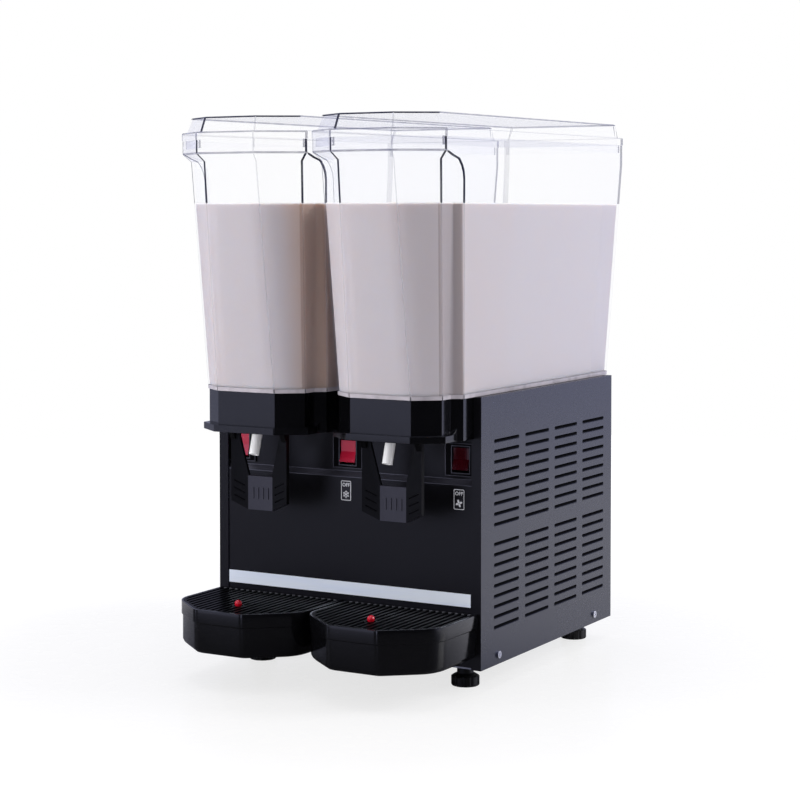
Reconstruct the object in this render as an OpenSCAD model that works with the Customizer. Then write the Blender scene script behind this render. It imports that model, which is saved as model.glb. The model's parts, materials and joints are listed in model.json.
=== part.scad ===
// Twin-tank cold drink dispenser. Millimetres, +Z up, front towards -Y, floor at z = 0.
// Sizes along Y are measured from the cabinet's front face; the finished part is centred on its own box.

/* [Cabinet] */
// Width over the side panels
cab_w = 370; // [350:1:420]
// Depth from the front face to the rear face
cab_d = 376; // [366:1:420]
// Height of the cabinet body without its feet
cab_h = 321.5; // [315:0.5:360]
// Height of the cabinet's underside above the floor
foot_h = 27.5; // [24:0.5:40]
// Thickness of the sheet panels
sheet = 1.5; // [1:0.1:2]
// Thickness of the base pan and of the top deck
deck_t = 2; // [1.5:0.1:3]
// Height of the base pan's upturned edges
pan_h = 24; // [20:1:40]
// Width of the side panels' folded front edges
return_w = 13; // [10:0.5:13]
// Depth of the recessed switch band
recess_d = 6; // [3:0.5:8]
// Height of the recessed switch band, down from the top deck
recess_h = 98.5; // [96:0.5:110]
// Height of the sloping ledge below the switch band
ledge_h = 6; // [3:0.5:10]
// Height of the pale strip's lower edge above the cabinet's underside
strip_z = 73.5; // [70:0.5:90]
// Height of the pale strip
strip_h = 15.5; // [10:0.5:20]
// Thickness of the pale strip
strip_t = 1; // [0.6:0.1:1.4]

/* [Louvres] */
// Length of a louvre slot
louvre_l = 67; // [50:1:72]
// Height of a louvre slot
louvre_h = 4.5; // [3:0.5:6]
// Height from one louvre to the next
louvre_pitch = 12.4; // [10:0.1:13]
// Louvres in one bank of a column
louvre_rows = 9; // [6:1:9]
// Distance of the last column's rear end from the cabinet rear
louvre_rear = 25.5; // [12:0.5:42]
// Distance of the first column's front end from the cabinet front
louvre_front = 33; // [25:1:40]
// Height of the lowest louvre above the cabinet's underside
louvre_low = 45.1; // [40:0.5:50]
// Height between the lower bank's top row and the upper bank's lowest row
louvre_bank_gap = 23.5; // [16:0.5:30]

/* [Fasteners] */
// Radius of the case screws' heads
screw_head_r = 4.5; // [3.5:0.1:6]
// Height of the case screws' heads
screw_head_h = 2.3; // [1.5:0.1:3]
// Radius of the case screws' shanks
screw_r = 2; // [1.5:0.1:2.5]
// Length of the case screws' shanks
screw_l = 9; // [6:0.5:12]
// Height of the case screws above the cabinet's underside
screw_z = 11.5; // [9:0.5:16]
// Distance of the front case screws from the cabinet front
screw_front = 45; // [30:1:60]
// Distance of the rear case screws from the cabinet rear
screw_rear = 55; // [30:1:70]

/* [Feet] */
// Distance between the left and right feet
foot_pitch_x = 290; // [270:1:300]
// Distance of the front feet from the cabinet front
foot_front = 37; // [34:1:40]
// Distance of the rear feet from the cabinet rear
foot_rear = 31; // [26:1:34]
// Radius of a foot's knob
foot_r = 17; // [14:0.5:20]
// Height of a foot's knob
foot_knob_h = 13; // [10:0.5:16]
// Radius of a foot's neck
foot_neck_r = 10; // [8:0.5:12]
// Radius of a foot's threaded stem
stem_r = 4; // [3:0.5:5]
// Length of a foot's stem above the cabinet's underside
stem_l = 20; // [17:0.5:21]
// Height of the nuts that the feet screw into
nut_h = 12; // [8:0.5:14]
// Radius of the nuts that the feet screw into
nut_r = 9; // [8:0.5:11]
// Scallops round a foot's knob
foot_scallops = 10; // [6:1:14]

/* [Tanks] */
// Distance between the tank centres
tank_pitch = 186; // [184:0.5:188]
// Thickness of a tank's walls
tank_wall = 3; // [2:0.1:3.5]
// Thickness of a tank's floor
tank_floor = 4; // [3:0.1:6]
// Height from a tank's base to its shoulder
tank_body_h = 275.5; // [220:0.5:320]
// Height of the shoulder under the rim
shoulder_h = 9.5; // [8:0.5:14]
// Height of the rim band
rim_h = 16; // [14:0.5:24]
// Width over the side walls at the base
base_w = 167; // [160:0.5:170]
// Width over the rim band
rim_w = 178; // [174:0.5:180]
// Width of the front flat at the base
base_flat = 82; // [76:0.5:88]
// Width of the front flat under the shoulder
neck_flat = 74; // [68:0.5:80]
// Width of the front flat at the rim
rim_flat = 80.6; // [74:0.5:86]
// Width over the nose at the base
base_nose_w = 141; // [132:0.5:146]
// Width over the nose under the shoulder
neck_nose_w = 160; // [154:0.5:164]
// Reach of the front flat ahead of the cabinet at the base
base_reach = 77.5; // [74:0.5:84]
// Reach of the front flat ahead of the cabinet under the shoulder
neck_reach = 109; // [100:0.5:112]
// Reach of the front flat ahead of the cabinet at the rim
rim_reach = 120; // [116:0.5:126]
// Depth of the nose's corner facets at the base
base_facet = 23; // [20:0.5:26]
// Depth of the nose's corner facets under the shoulder
neck_facet = 33.3; // [30:0.5:36]
// Depth of the nose's corner facets at the rim
rim_facet = 39.4; // [36:0.5:42]
// Depth of the side flutes at the base
base_flute = 28; // [24:0.5:32]
// Depth of the side flutes under the shoulder
neck_flute = 39; // [34:0.5:42]
// Depth of the flutes' sloping rear face
flute_slope = 8; // [5:0.5:11]
// Height of the round arch at a flute's upper end
arch_h = 31; // [20:0.5:40]
// Rise of the rim from its front to its rear
rim_rise = 4; // [0:0.5:8]
// Overhang of the tank's rear wall beyond the cabinet rear, at the base
base_over = 11; // [4:0.5:18]
// Overhang of the tank's rear wall beyond the cabinet rear, at the rim
rim_over = 47; // [38:0.5:54]
// Radius of the tank's rear corners
tail_r = 10; // [8:0.5:20]

/* [Lids] */
// Overhang of a lid's edge beyond the rim band
lid_overhang = 0.8; // [0.4:0.1:1.5]
// Height of a lid's edge
lid_edge_h = 9.5; // [7:0.5:14]
// Depth of the skirt that plugs into the rim
lid_skirt = 10; // [6:0.5:12]
// Height of the raised plateau above the edge
lid_rise = 18; // [12:0.5:24]
// Width of the flat ledge round the plateau
lid_ledge = 6; // [4:0.5:9]
// Inward slope of the plateau's front and sides
lid_slope = 6; // [4:0.5:12]
// Thickness of a lid
lid_t = 2.5; // [1.8:0.1:3]
// Gap between a lid's skirt and the rim band
lid_play = 1; // [0.6:0.1:1.4]

/* [Fascias and taps] */
// Height of a fascia below the top deck
fascia_h = 49; // [46:0.5:54]
// Thickness of a fascia's walls
fascia_wall = 3; // [2:0.1:3.5]
// Set-back of a fascia's walls from the tank's base
fascia_inset = 1.5; // [1:0.1:2.5]
// Height of the flange along a fascia's lower edge
flange_h = 8; // [6:0.5:10]
// Projection of that flange beyond the tank's nose
flange_out = 5; // [3:0.5:7]
// Radius of the round foot of the fascia's side flutes
fascia_arch_r = 16; // [10:0.5:20]
// Distance of the tap's axis ahead of the cabinet front
tap_reach = 48.5; // [46:0.5:50]
// Radius of the tank's outlet spigot
spigot_r = 9.5; // [9:0.1:10.5]
// Length of the tank's outlet spigot
spigot_l = 10; // [8:0.5:11]
// Radius of the spigot's bore
spigot_bore_r = 6.3; // [5.5:0.1:6.8]
// Radius of the tap's vertical tube
tap_r = 8.5; // [8:0.1:8.8]
// Radius of the spout
spout_r = 6.2; // [5.5:0.1:7]
// Wall of the tap's tube and spout
tap_wall = 2; // [1.5:0.1:2.5]
// Drop of the spout's mouth below the fascia
spout_drop = 28; // [24:0.5:34]
// Forward lean of the spout in degrees
spout_lean = 17; // [12:1:24]
// Radius of the plunger's stem
plunger_stem_r = 2.5; // [2:0.1:2.8]
// Radius of the tap spring's coil, at the wire's middle
spring_r = 3.9; // [3.6:0.1:4.2]
// Radius of the tap spring's wire
spring_wire_r = 0.4; // [0.3:0.05:0.5]
// Turns of the tap spring
spring_turns = 6; // [4:1:8]

/* [Push levers] */
// Width over a lever's wings
lever_w = 80.8; // [76:0.2:82]
// Width of a lever's centre pad
pad_w = 35.2; // [30:0.2:40]
// Height of a lever's centre pad
pad_h = 41.4; // [36:0.2:46]
// Height of the pad's lower edge below the top deck
lever_drop = 146; // [142:0.5:150]
// Distance of the pad's face ahead of the cabinet front
pad_reach = 46.3; // [45:0.1:48]
// Thickness of a lever's plates
lever_t = 5; // [4:0.5:6]
// Rise of the wings' lower edges towards the sides
wing_rise = 10; // [6:0.5:14]
// Forward turn of the wings in degrees
wing_turn = 9; // [4:1:12]
// Width of each lever arm where it enters the fascia
arm_w = 11.4; // [9:0.2:13]
// Grip grooves on each wing
wing_grooves = 3; // [2:1:4]
// Distance of the pivot pin ahead of the cabinet front
pivot_reach = 64; // [63:0.5:65]
// Height of the pivot pin above the fascia's lower edge
pivot_rise = 16; // [15:0.5:17]
// Radius of the pivot pin
pivot_r = 2; // [1.5:0.1:2.2]
// Radius of the lever's pivot eyes
eye_r = 5.5; // [4.5:0.1:6]

/* [Drip trays] */
// Distance between the tray centres
tray_pitch = 184; // [182:0.5:186]
// Width of a tray
tray_w = 179; // [172:0.5:180]
// Reach of a tray ahead of the cabinet
tray_reach = 139.5; // [132:0.5:150]
// Height of a tray
tray_h = 53.5; // [48:0.5:56]
// Height of the tray's top edge above the cabinet's underside
tray_top = 67; // [62:0.5:69]
// Width of a tray's front flat
tray_flat = 67; // [56:0.5:76]
// Depth of a tray's slanting front corners
tray_corner = 46.5; // [40:0.5:60]
// Radius that blends a tray's outer corners
tray_round = 40; // [30:1:44]
// Radius that blends the ends of a tray's front flat
tray_front_round = 16; // [12:1:24]
// Height of the lip band round a tray
lip_h = 17; // [14:0.5:22]
// Set-back of the tray's lower body behind the lip band
lip_step = 1.5; // [1:0.1:2.5]
// Thickness of a tray's walls
tray_wall = 2.5; // [2:0.1:3]
// Width of the ledge that carries the grille
grille_ledge = 3; // [2:0.5:5]
// Thickness of a grille
grille_t = 5; // [4:0.5:7]
// Pitch of the grille's ribs
rib_pitch = 8.5; // [7:0.1:11]
// Width of the grille's ribs
rib_w = 3.6; // [2.5:0.1:4.5]
// Width of the grille's frame
grille_frame = 3; // [2.5:0.1:5]
// Radius of a float's ball
ball_r = 4.5; // [3.5:0.1:5]
// Distance of a float ahead of the cabinet front
float_reach = 95.5; // [80:0.5:104]
// Height of the ball's middle above the tray's top edge
ball_rise = 2.5; // [1:0.5:6]
// Radius of the float puck
puck_r = 12; // [8:0.5:16]
// Height of the float puck
puck_h = 9; // [6:0.5:12]
// Width of the tongues that hang a tray on the front panel
tongue_w = 14; // [10:0.5:20]
// Thickness of those tongues
tongue_t = 4; // [3:0.5:6]
// Length of those tongues
tongue_l = 16; // [10:0.5:18]
// Distance between a tray's two tongues
tongue_pitch = 90; // [70:1:110]

/* [Switches] */
// Distance of the outer switches from the middle
switch_pitch = 155; // [150:0.5:156]
// Height of the switches below the top deck
switch_drop = 75; // [74:0.5:76]
// Width of a rocker
rocker_w = 21; // [18:0.5:22]
// Height of a rocker
rocker_h = 27; // [24:0.5:28]
// Width of a switch bezel
bezel_w = 42; // [34:0.5:44]
// Height of a switch bezel
bezel_h = 40; // [36:0.5:42]
// Thickness of a switch bezel
bezel_t = 2; // [1.5:0.1:3]
// Depth of a switch housing behind the bezel
housing_d = 26; // [22:0.5:32]
// Wall of a switch housing
housing_wall = 2.4; // [2:0.1:2.6]
// Tilt of a rocker either side of the middle, in degrees
rocker_tilt = 8; // [5:1:10]

/* [Mixers] */
// Distance of the mixers behind the cabinet front
mixer_y = 188; // [170:1:200]
// Radius of the cold plate's round body
plate_r = 62; // [56:0.5:64]
// Height of the cold plate above the top deck
plate_h = 13; // [10:0.5:18]
// Radius of the cold plate's flange under the deck
plate_flange_r = 75; // [72:0.5:76]
// Thickness of the cold plate's flange and crown
plate_t = 3; // [2:0.1:4]
// Width of the rubber gasket round the cold plate
gasket_w = 4; // [3:0.1:6]
// Radius of the stud that carries the mixer paddle
stud_r = 3; // [2.5:0.1:4]
// Height of that stud
stud_h = 22; // [18:0.5:26]
// Radius of the mixer paddle
paddle_r = 55; // [40:0.5:60]
// Height of the paddle's vanes
vane_h = 14; // [10:0.5:16]
// Thickness of the paddle's vanes
vane_t = 4; // [3:0.5:6]
// Radius of the drive magnet
magnet_r = 42; // [34:0.5:48]
// Thickness of the drive magnet
magnet_t = 7; // [5:0.5:8]
// Radius of the mixer motor
motor_r = 38; // [30:0.5:42]
// Height of the mixer motor's can
motor_h = 56; // [44:0.5:60]

/* [Refrigeration] */
// Radius of the compressor's can
comp_r = 62; // [54:0.5:66]
// Height of the compressor's can
comp_h = 145; // [120:1:155]
// Distance of the compressor left of the middle
comp_x = 82; // [78:1:86]
// Distance of the compressor ahead of the cabinet rear
comp_rear = 140; // [136:1:150]
// Distance of the condenser's rear end from the cabinet rear
cond_tail = 58; // [52:1:84]
// Height of the condenser
cond_h = 200; // [180:1:206]
// Thickness of the condenser
cond_t = 40; // [30:1:44]
// Distance of the condenser's inner face from the middle
cond_x = 128; // [122:1:132]
// Distance of the condenser's front end behind the cabinet front
cond_y = 62; // [58:1:66]
// Distance from one condenser fin to the next
fin_pitch = 12.8; // [10:0.1:16]
// Radius of the condenser fan
fan_r = 82; // [70:0.5:84]
// Depth of the fan shroud
shroud_d = 24; // [22:0.5:28]
// Radius of the copper pipes
pipe_r = 4; // [3:0.1:4.5]
// Radius of the filter drier
drier_r = 10; // [8:0.5:12]

/* [Clearances] */
// Gap between a piece that lifts or pulls off and its seat
seat_gap = 0.3; // [0.2:0.05:0.4]
// Radial gap of pins and shafts that turn or slide in bores
run_gap = 0.05; // [0.02:0.01:0.1]

/* [Hidden] */
$fn = 64;

// Colours
steel_paint = [0.33, 0.34, 0.40];
black_paint = [0.13, 0.13, 0.15];
black_plastic = [0.08, 0.08, 0.09];
clear_plastic = [0.88, 0.90, 0.96, 0.3];
white_plastic = [0.93, 0.93, 0.93];
red_plastic = [0.75, 0.06, 0.08];
bright_steel = [0.78, 0.78, 0.80];
copper = [0.72, 0.45, 0.30];
rubber = [0.10, 0.10, 0.10];
pale_blue = [0.78, 0.84, 0.94];
zinc_steel = [0.62, 0.63, 0.65];

// Levels and planes
eps = 0.01;
cut = 1;
cab_top = foot_h + cab_h;
half_w = cab_w / 2;
tank_x = tank_pitch / 2;
tray_x = tray_pitch / 2;
recess_y = sheet + recess_d;
front_y = -tray_reach;
base_tail = cab_d + base_over;
rim_tail = cab_d + rim_over;
rear_y = rim_tail + lid_overhang;
mid_y = (front_y + rear_y) / 2;
pan_top = foot_h + deck_t;
deck_under = cab_top - deck_t;
tank_base = cab_top + seat_gap;
neck_z = tank_base + tank_body_h;
rim_low = neck_z + shoulder_h;
rim_top = rim_low + rim_h;

function mix(a, b, t) = a + (b - a) * t;
function unit(v) = v / norm(v);
function mirrored(half) = [for (i = [len(half) - 1 : -1 : 0]) [-half[i].x, half[i].y]];
function closed(half) = concat(half, mirrored(half));
function inward(p, q) = [p.y - q.y, q.x - p.x] / norm(q - p);

// The outline moved inwards by d, or outwards where d is negative
function inset(pts, d) = [
    for (i = [0 : len(pts) - 1])
        let (
            n = len(pts),
            a = inward(pts[(i + n - 1) % n], pts[i]),
            b = inward(pts[i], pts[(i + 1) % n])
        )
        pts[i] + d * (a + b) / (1 + a * b)
];

// Points of a quarter round corner that ends an outline's right half at (x, y)
function tail_corner(x, y, r, steps = 4) = [
    for (i = [0 : steps])
        let (a = 90 * i / steps)
        [x - r + r * cos(a), y - r + r * sin(a)]
];

// Arc points that blend the corner at b between a and c
function blended(a, b, c, r, steps = 5) =
    let (
        u = unit(a - b),
        v = unit(c - b),
        half = acos(u * v) / 2,
        centre = b + unit(u + v) * r / sin(half),
        from = b + u * r / tan(half) - centre,
        turn = 180 - 2 * half,
        base = atan2(from.y, from.x)
    )
    [for (i = [0 : steps]) centre + r * [cos(base + turn * i / steps), sin(base + turn * i / steps)]];

function at_height(pts, z) = [for (p = pts) [p.x, p.y, z]];

// Tank ring at height z, tilted in step with the rim's rise
function tank_ring(pts, z) = [
    for (p = pts)
        let (
            share = (z - tank_base) / (rim_top - tank_base),
            back = (p.y + rim_reach) / (rim_tail + rim_reach)
        )
        [p.x, p.y, z + rim_rise * share * back]
];

// Closed solid through a stack of rings with equal point counts
module skin(rings) {
    n = len(rings[0]);
    last = len(rings) - 1;
    polyhedron(
        points = [for (ring = rings) each ring],
        faces = concat(
            [[for (i = [0 : n - 1]) i]],
            [[for (i = [n - 1 : -1 : 0]) last * n + i]],
            [
                for (k = [0 : last - 1], i = [0 : n - 1])
                    let (a = k * n + i, b = k * n + (i + 1) % n)
                    each [[a, a + n, b + n], [a, b + n, b]]
            ]
        ),
        convexity = 8
    );
}

module placed() {
    translate([0, -mid_y, 0]) children();
}

module at_tank(side) {
    placed() translate([side * tank_x, 0, 0]) children();
}

module at_tray(side) {
    placed() translate([side * tray_x, 0, foot_h]) children();
}

// Outline given as [y, z] points, extruded along X about the middle
module along_x(width) {
    rotate([90, 0, 90]) linear_extrude(width, center = true) children();
}

module x_rod(r, from_x, to_x) {
    translate([from_x, 0, 0]) rotate([0, 90, 0]) cylinder(r = r, h = to_x - from_x);
}

module y_rod(r, from_y, to_y) {
    translate([0, from_y, 0]) rotate([-90, 0, 0]) cylinder(r = r, h = to_y - from_y);
}

module block(low, high) {
    translate(low) cube(high - low);
}

// Cabinet sheet metal
screw_places = [screw_front, cab_d - screw_rear];
foot_places = [[-1, foot_front], [1, foot_front], [-1, cab_d - foot_rear], [1, cab_d - foot_rear]];
louvre_columns = 4;
louvre_column_pitch = (cab_d - louvre_front - louvre_rear - louvre_l) / (louvre_columns - 1);
louvre_banks = 2;
bank_rise = (louvre_rows - 1) * louvre_pitch + louvre_bank_gap;

module at_foot(place) {
    translate([place.x * foot_pitch_x / 2, place.y, 0]) children();
}

module base_pan() {
    wide = half_w - sheet;
    color(zinc_steel) placed() difference() {
        union() {
            block([-wide, 2 * sheet, foot_h], [wide, cab_d - sheet, pan_top]);
            for (side = [-1, 1])
                translate([side * (wide - sheet / 2), 0, 0])
                    block([-sheet / 2, 2 * sheet, foot_h], [sheet / 2, cab_d - sheet, foot_h + pan_h]);
            for (place = foot_places)
                at_foot(place) translate([0, 0, foot_h]) cylinder(r = nut_r, h = deck_t + nut_h);
        }
        for (place = foot_places)
            at_foot(place) translate([0, 0, foot_h - cut])
                cylinder(r = stem_r + run_gap, h = deck_t + nut_h + 2 * cut);
        for (y = screw_places)
            translate([0, y, foot_h + screw_z]) x_rod(screw_r + seat_gap, -half_w - cut, half_w + cut);
    }
}

module louvre_slots() {
    half = (louvre_l - louvre_h) / 2;
    for (column = [0 : louvre_columns - 1], bank = [0 : louvre_banks - 1], row = [0 : louvre_rows - 1])
        translate([
            louvre_front + louvre_l / 2 + column * louvre_column_pitch,
            foot_h + louvre_low + bank * bank_rise + row * louvre_pitch
        ]) {
            square([2 * half, louvre_h], center = true);
            for (end = [-half, half]) translate([end, 0]) circle(r = louvre_h / 2, $fn = 24);
        }
}

module side_panel(side) {
    color(steel_paint) placed() difference() {
        union() {
            translate([side * (half_w - sheet / 2), 0, 0])
                block([-sheet / 2, 0, foot_h], [sheet / 2, cab_d, cab_top]);
            translate([side * (half_w - return_w / 2), 0, 0])
                block([-return_w / 2, 0, foot_h], [return_w / 2, sheet, cab_top]);
        }
        translate([side * (half_w - sheet / 2), 0, 0]) along_x(2 * sheet) louvre_slots();
        for (y = screw_places)
            translate([side * half_w, y, foot_h + screw_z]) x_rod(screw_r + seat_gap, -2 * sheet, 2 * sheet);
    }
}

module left_side_panel() {
    side_panel(-1);
}

module right_side_panel() {
    side_panel(1);
}

switch_z = cab_top - switch_drop;
switch_places = [-switch_pitch, 0, switch_pitch];
tongue_z = tray_top - lip_h + tongue_t;

module front_panel() {
    wide = half_w - sheet;
    low = foot_h + deck_t;
    bend = cab_top - recess_h;
    color(black_paint) placed() difference() {
        along_x(2 * wide) polygon([
            [sheet, low], [2 * sheet, low], [2 * sheet, bend - ledge_h], [recess_y + sheet, bend],
            [recess_y + sheet, deck_under], [recess_y, deck_under], [recess_y, bend], [sheet, bend - ledge_h]
        ]);
        for (x = switch_places)
            translate([x, recess_y, switch_z])
                cube([housing_hole_w, 4 * sheet, housing_hole_h], center = true);
        for (side = [-1, 1], end = [-1, 1])
            translate([side * tray_x + end * tongue_pitch / 2, 1.5 * sheet, foot_h + tongue_z])
                cube([tongue_w + 2 * seat_gap, 4 * sheet, tongue_t + 2 * seat_gap], center = true);
    }
}

vent_rows = 6;
vent_columns = 3;
vent_l = 80;
vent_pitch_x = 104;
vent_pitch_z = 24;
gland_x = 60;
gland_z = 46;
gland_r = 9;
gland_bore_r = 4;
gland_flange_r = 14;
gland_flange_t = 5;
gland_nut_t = 6;

module rear_panel() {
    wide = half_w - sheet;
    color(steel_paint) placed() difference() {
        block([-wide, cab_d - sheet, foot_h], [wide, cab_d, deck_under]);
        for (column = [0 : vent_columns - 1], row = [0 : vent_rows - 1])
            translate([
                (column - (vent_columns - 1) / 2) * vent_pitch_x,
                cab_d - sheet / 2,
                (foot_h + cab_top) / 2 + (row - (vent_rows - 1) / 2) * vent_pitch_z
            ])
                cube([vent_l, 2 * sheet, louvre_h], center = true);
        translate([gland_x, 0, foot_h + gland_z]) y_rod(gland_r + run_gap, cab_d - 2 * sheet, cab_d + cut);
    }
}

module top_deck() {
    wide = half_w - sheet;
    color(black_paint) placed() difference() {
        block([-wide, recess_y, deck_under], [wide, cab_d, cab_top]);
        for (side = [-1, 1])
            translate([side * tank_x, mixer_y, deck_under - cut])
                cylinder(r = plate_r + run_gap, h = deck_t + 2 * cut);
    }
}

module case_screws() {
    color(bright_steel) placed()
        for (side = [-1, 1], y = screw_places)
            translate([side * half_w, y, foot_h + screw_z]) mirror([side < 0 ? 1 : 0, 0, 0]) difference() {
                union() {
                    x_rod(screw_head_r, 0, screw_head_h);
                    x_rod(screw_r, -screw_l, screw_head_h);
                }
                for (turn = [0, 90])
                    translate([screw_head_h, 0, 0]) rotate([turn, 0, 0])
                        cube([screw_head_h, 1.2 * screw_head_r, 0.2 * screw_head_r], center = true);
            }
}

module front_strip() {
    wide = half_w - return_w - 1;
    low = foot_h + strip_z;
    color(pale_blue) placed() block([-wide, sheet - strip_t, low], [wide, sheet, low + strip_h]);
}

module cord_gland() {
    color(black_plastic) placed() translate([gland_x, 0, foot_h + gland_z]) difference() {
        union() {
            y_rod(gland_flange_r, cab_d, cab_d + gland_flange_t);
            y_rod(gland_r, cab_d - sheet - gland_nut_t, cab_d + eps);
            y_rod(gland_r + 2, cab_d - sheet - gland_nut_t, cab_d - sheet);
            y_rod(gland_r, cab_d, cab_d + 2 * gland_flange_t);
        }
        y_rod(gland_bore_r, cab_d - sheet - gland_nut_t - cut, cab_d + 2 * gland_flange_t + cut);
    }
}

module foot(place) {
    neck_top = foot_h - seat_gap;
    color(black_plastic) placed() at_foot(place) {
        difference() {
            rotate_extrude() polygon([
                [0, 0], [foot_r - 1, 0], [foot_r, 1], [foot_r, foot_knob_h - 2], [foot_r - 3, foot_knob_h],
                [foot_neck_r, foot_knob_h + 2], [foot_neck_r, neck_top], [stem_r, neck_top],
                [stem_r, foot_h + stem_l], [0, foot_h + stem_l]
            ]);
            for (i = [0 : foot_scallops - 1])
                rotate(360 * i / foot_scallops)
                    translate([foot_r + 1.6, 0, -cut]) cylinder(r = 3, h = foot_knob_h + 2 * cut, $fn = 24);
        }
    }
}

module foot_front_left() {
    foot(foot_places[0]);
}

module foot_front_right() {
    foot(foot_places[1]);
}

module foot_rear_left() {
    foot(foot_places[2]);
}

module foot_rear_right() {
    foot(foot_places[3]);
}

// Tanks and lids
// Half outline of a tank: flat front, corner facet, flute, side wall, round rear corner
function tank_half(flat, reach, nose, facet, flute, slope, side, tail) = concat(
    [
        [flat / 2, -reach],
        [nose / 2, facet - reach],
        [nose / 2, facet + flute - slope - reach],
        [side / 2, facet + flute - reach]
    ],
    tail_corner(side / 2, tail, tail_r)
);

// Half outline of the body part-way up, from 0 at the base to 1 under the shoulder
function body_half(t, left = 1) =
    let (
        facet = mix(base_facet, neck_facet, t),
        full = mix(base_flute, neck_flute, t)
    )
    tank_half(
        mix(base_flat, neck_flat, t), mix(base_reach, neck_reach, t), mix(base_nose_w, neck_nose_w, t),
        facet, full * left, flute_slope * left, mix(base_w, rim_w, t), mix(base_tail, rim_tail, t)
    );

rim_outline = closed(tank_half(rim_flat, rim_reach, rim_w, rim_facet, 4, 2, rim_w, rim_tail));

arch_steps = 6;
arch_sweep = 78;
arch_low = rim_low - arch_h;

// Share of the flute's depth that is left at height z
function flute_left(z) =
    let (a = asin(max(0, z - arch_low) / arch_h * sin(arch_sweep)))
    mix(1, 0.06, (1 - cos(a)) / (1 - cos(arch_sweep)));

// Outline of a tank at height z; the shoulder blends the body into the rim
function tank_outline(z) =
    let (
        t = min(1, (z - tank_base) / tank_body_h),
        u = max(0, (z - neck_z) / shoulder_h),
        body = closed(body_half(t, flute_left(z)))
    )
    [for (i = [0 : len(body) - 1]) mix(body[i], rim_outline[i], u)];

arch_heights = [
    for (i = [0 : arch_steps]) arch_low + arch_h * sin(arch_sweep * i / arch_steps) / sin(arch_sweep)
];

// Stack of [height, outline] from the base to the rim's top
function tank_levels() = [
    for (z = concat(
        [tank_base],
        [for (z = arch_heights) if (z < neck_z - 1) z],
        [neck_z],
        [for (z = arch_heights) if (z > neck_z + 1 && z < rim_low - 1) z],
        [rim_low, rim_top]
    ))
        [z, z < rim_low ? tank_outline(z) : rim_outline]
];

// The inner wall rises above the arches and the shoulder, so that they keep their thickness
inner_lift = 2;

module tank_shell() {
    levels = tank_levels();
    top = len(levels) - 1;
    function inner_z(i) = i == 0 ? tank_base + tank_floor : i == top ? rim_top : levels[i][0] + inner_lift;
    skin(concat(
        [for (level = levels) tank_ring(level[1], level[0])],
        [for (i = [top : -1 : 0]) tank_ring(inset(levels[i][1], tank_wall), inner_z(i))]
    ));
}

gasket_r = plate_r + run_gap + gasket_w;

module tank(side) {
    color(clear_plastic) at_tank(side) difference() {
        union() {
            tank_shell();
            translate([0, -tap_reach, tank_base - spigot_l])
                cylinder(r = spigot_r, h = spigot_l + tank_floor / 2);
        }
        translate([0, -tap_reach, tank_base - spigot_l - cut])
            cylinder(r = spigot_bore_r, h = spigot_l + tank_floor + 2 * cut);
        translate([0, mixer_y, tank_base - cut]) cylinder(r = gasket_r + seat_gap, h = tank_floor + 2 * cut);
    }
}

module tank_left() {
    tank(-1);
}

module tank_right() {
    tank(1);
}

// Rim outline moved inwards by d, with its rear pushed back again by back
function lid_outline(d, back) = [
    for (p = inset(rim_outline, d)) [p.x, p.y + back * max(0, p.y) / rim_tail]
];

// One closed skin: down the inside from under the plateau, round the skirt and up the outside
module lid(side) {
    seat = rim_top + seat_gap;
    ledge = seat + lid_edge_h;
    top = ledge + lid_rise;
    foot = seat - lid_skirt;
    plug = tank_wall + lid_play;
    inner = plug + lid_t;
    crown = inner + max(lid_ledge - plug, 0.5);
    color(clear_plastic) at_tank(side) skin([
        for (level = [
            [top - lid_t, crown + lid_slope, lid_slope], [ledge - lid_t, crown, 0], [ledge - lid_t, inner, 0],
            [foot, inner, 0], [foot, plug, 0], [seat, plug, 0], [seat, -lid_overhang, 0],
            [ledge, -lid_overhang, 0], [ledge, lid_ledge, 0], [top, lid_ledge + lid_slope, lid_slope]
        ])
            tank_ring(lid_outline(level[1], level[2]), level[0])
    ]);
}

module lid_left() {
    lid(-1);
}

module lid_right() {
    lid(1);
}

// Fascias, taps and push levers
fascia_low = cab_top - fascia_h;
fascia_top_t = 4;
fascia_under = cab_top - fascia_top_t;
fascia_outline = inset(closed(concat(
    [for (i = [0 : 3]) body_half(0)[i]],
    [[base_w / 2, fascia_inset]]
)), fascia_inset);
fascia_hollow = inset(fascia_outline, fascia_wall);
fascia_side = base_w / 2 - fascia_inset;
flute_end = base_facet + base_flute - base_reach;
neck_wide = half_w - return_w - tank_x - seat_gap;
cup_r = spigot_r + seat_gap + tap_wall;
cup_floor = tank_base - spigot_l - 2;
pivot_z = fascia_low + pivot_rise;
lug_t = 4;
lug_gap = 1.5;
lug_x = lever_w / 2 + lug_gap;

arch_x = (base_nose_w - fascia_wall + flange_out) / 2;

module flange_outline() {
    polygon(inset(closed([
        [base_flat / 2, -base_reach],
        [base_nose_w / 2, base_facet - base_reach],
        [base_nose_w / 2, flute_end]
    ]), -flange_out));
}

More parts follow.
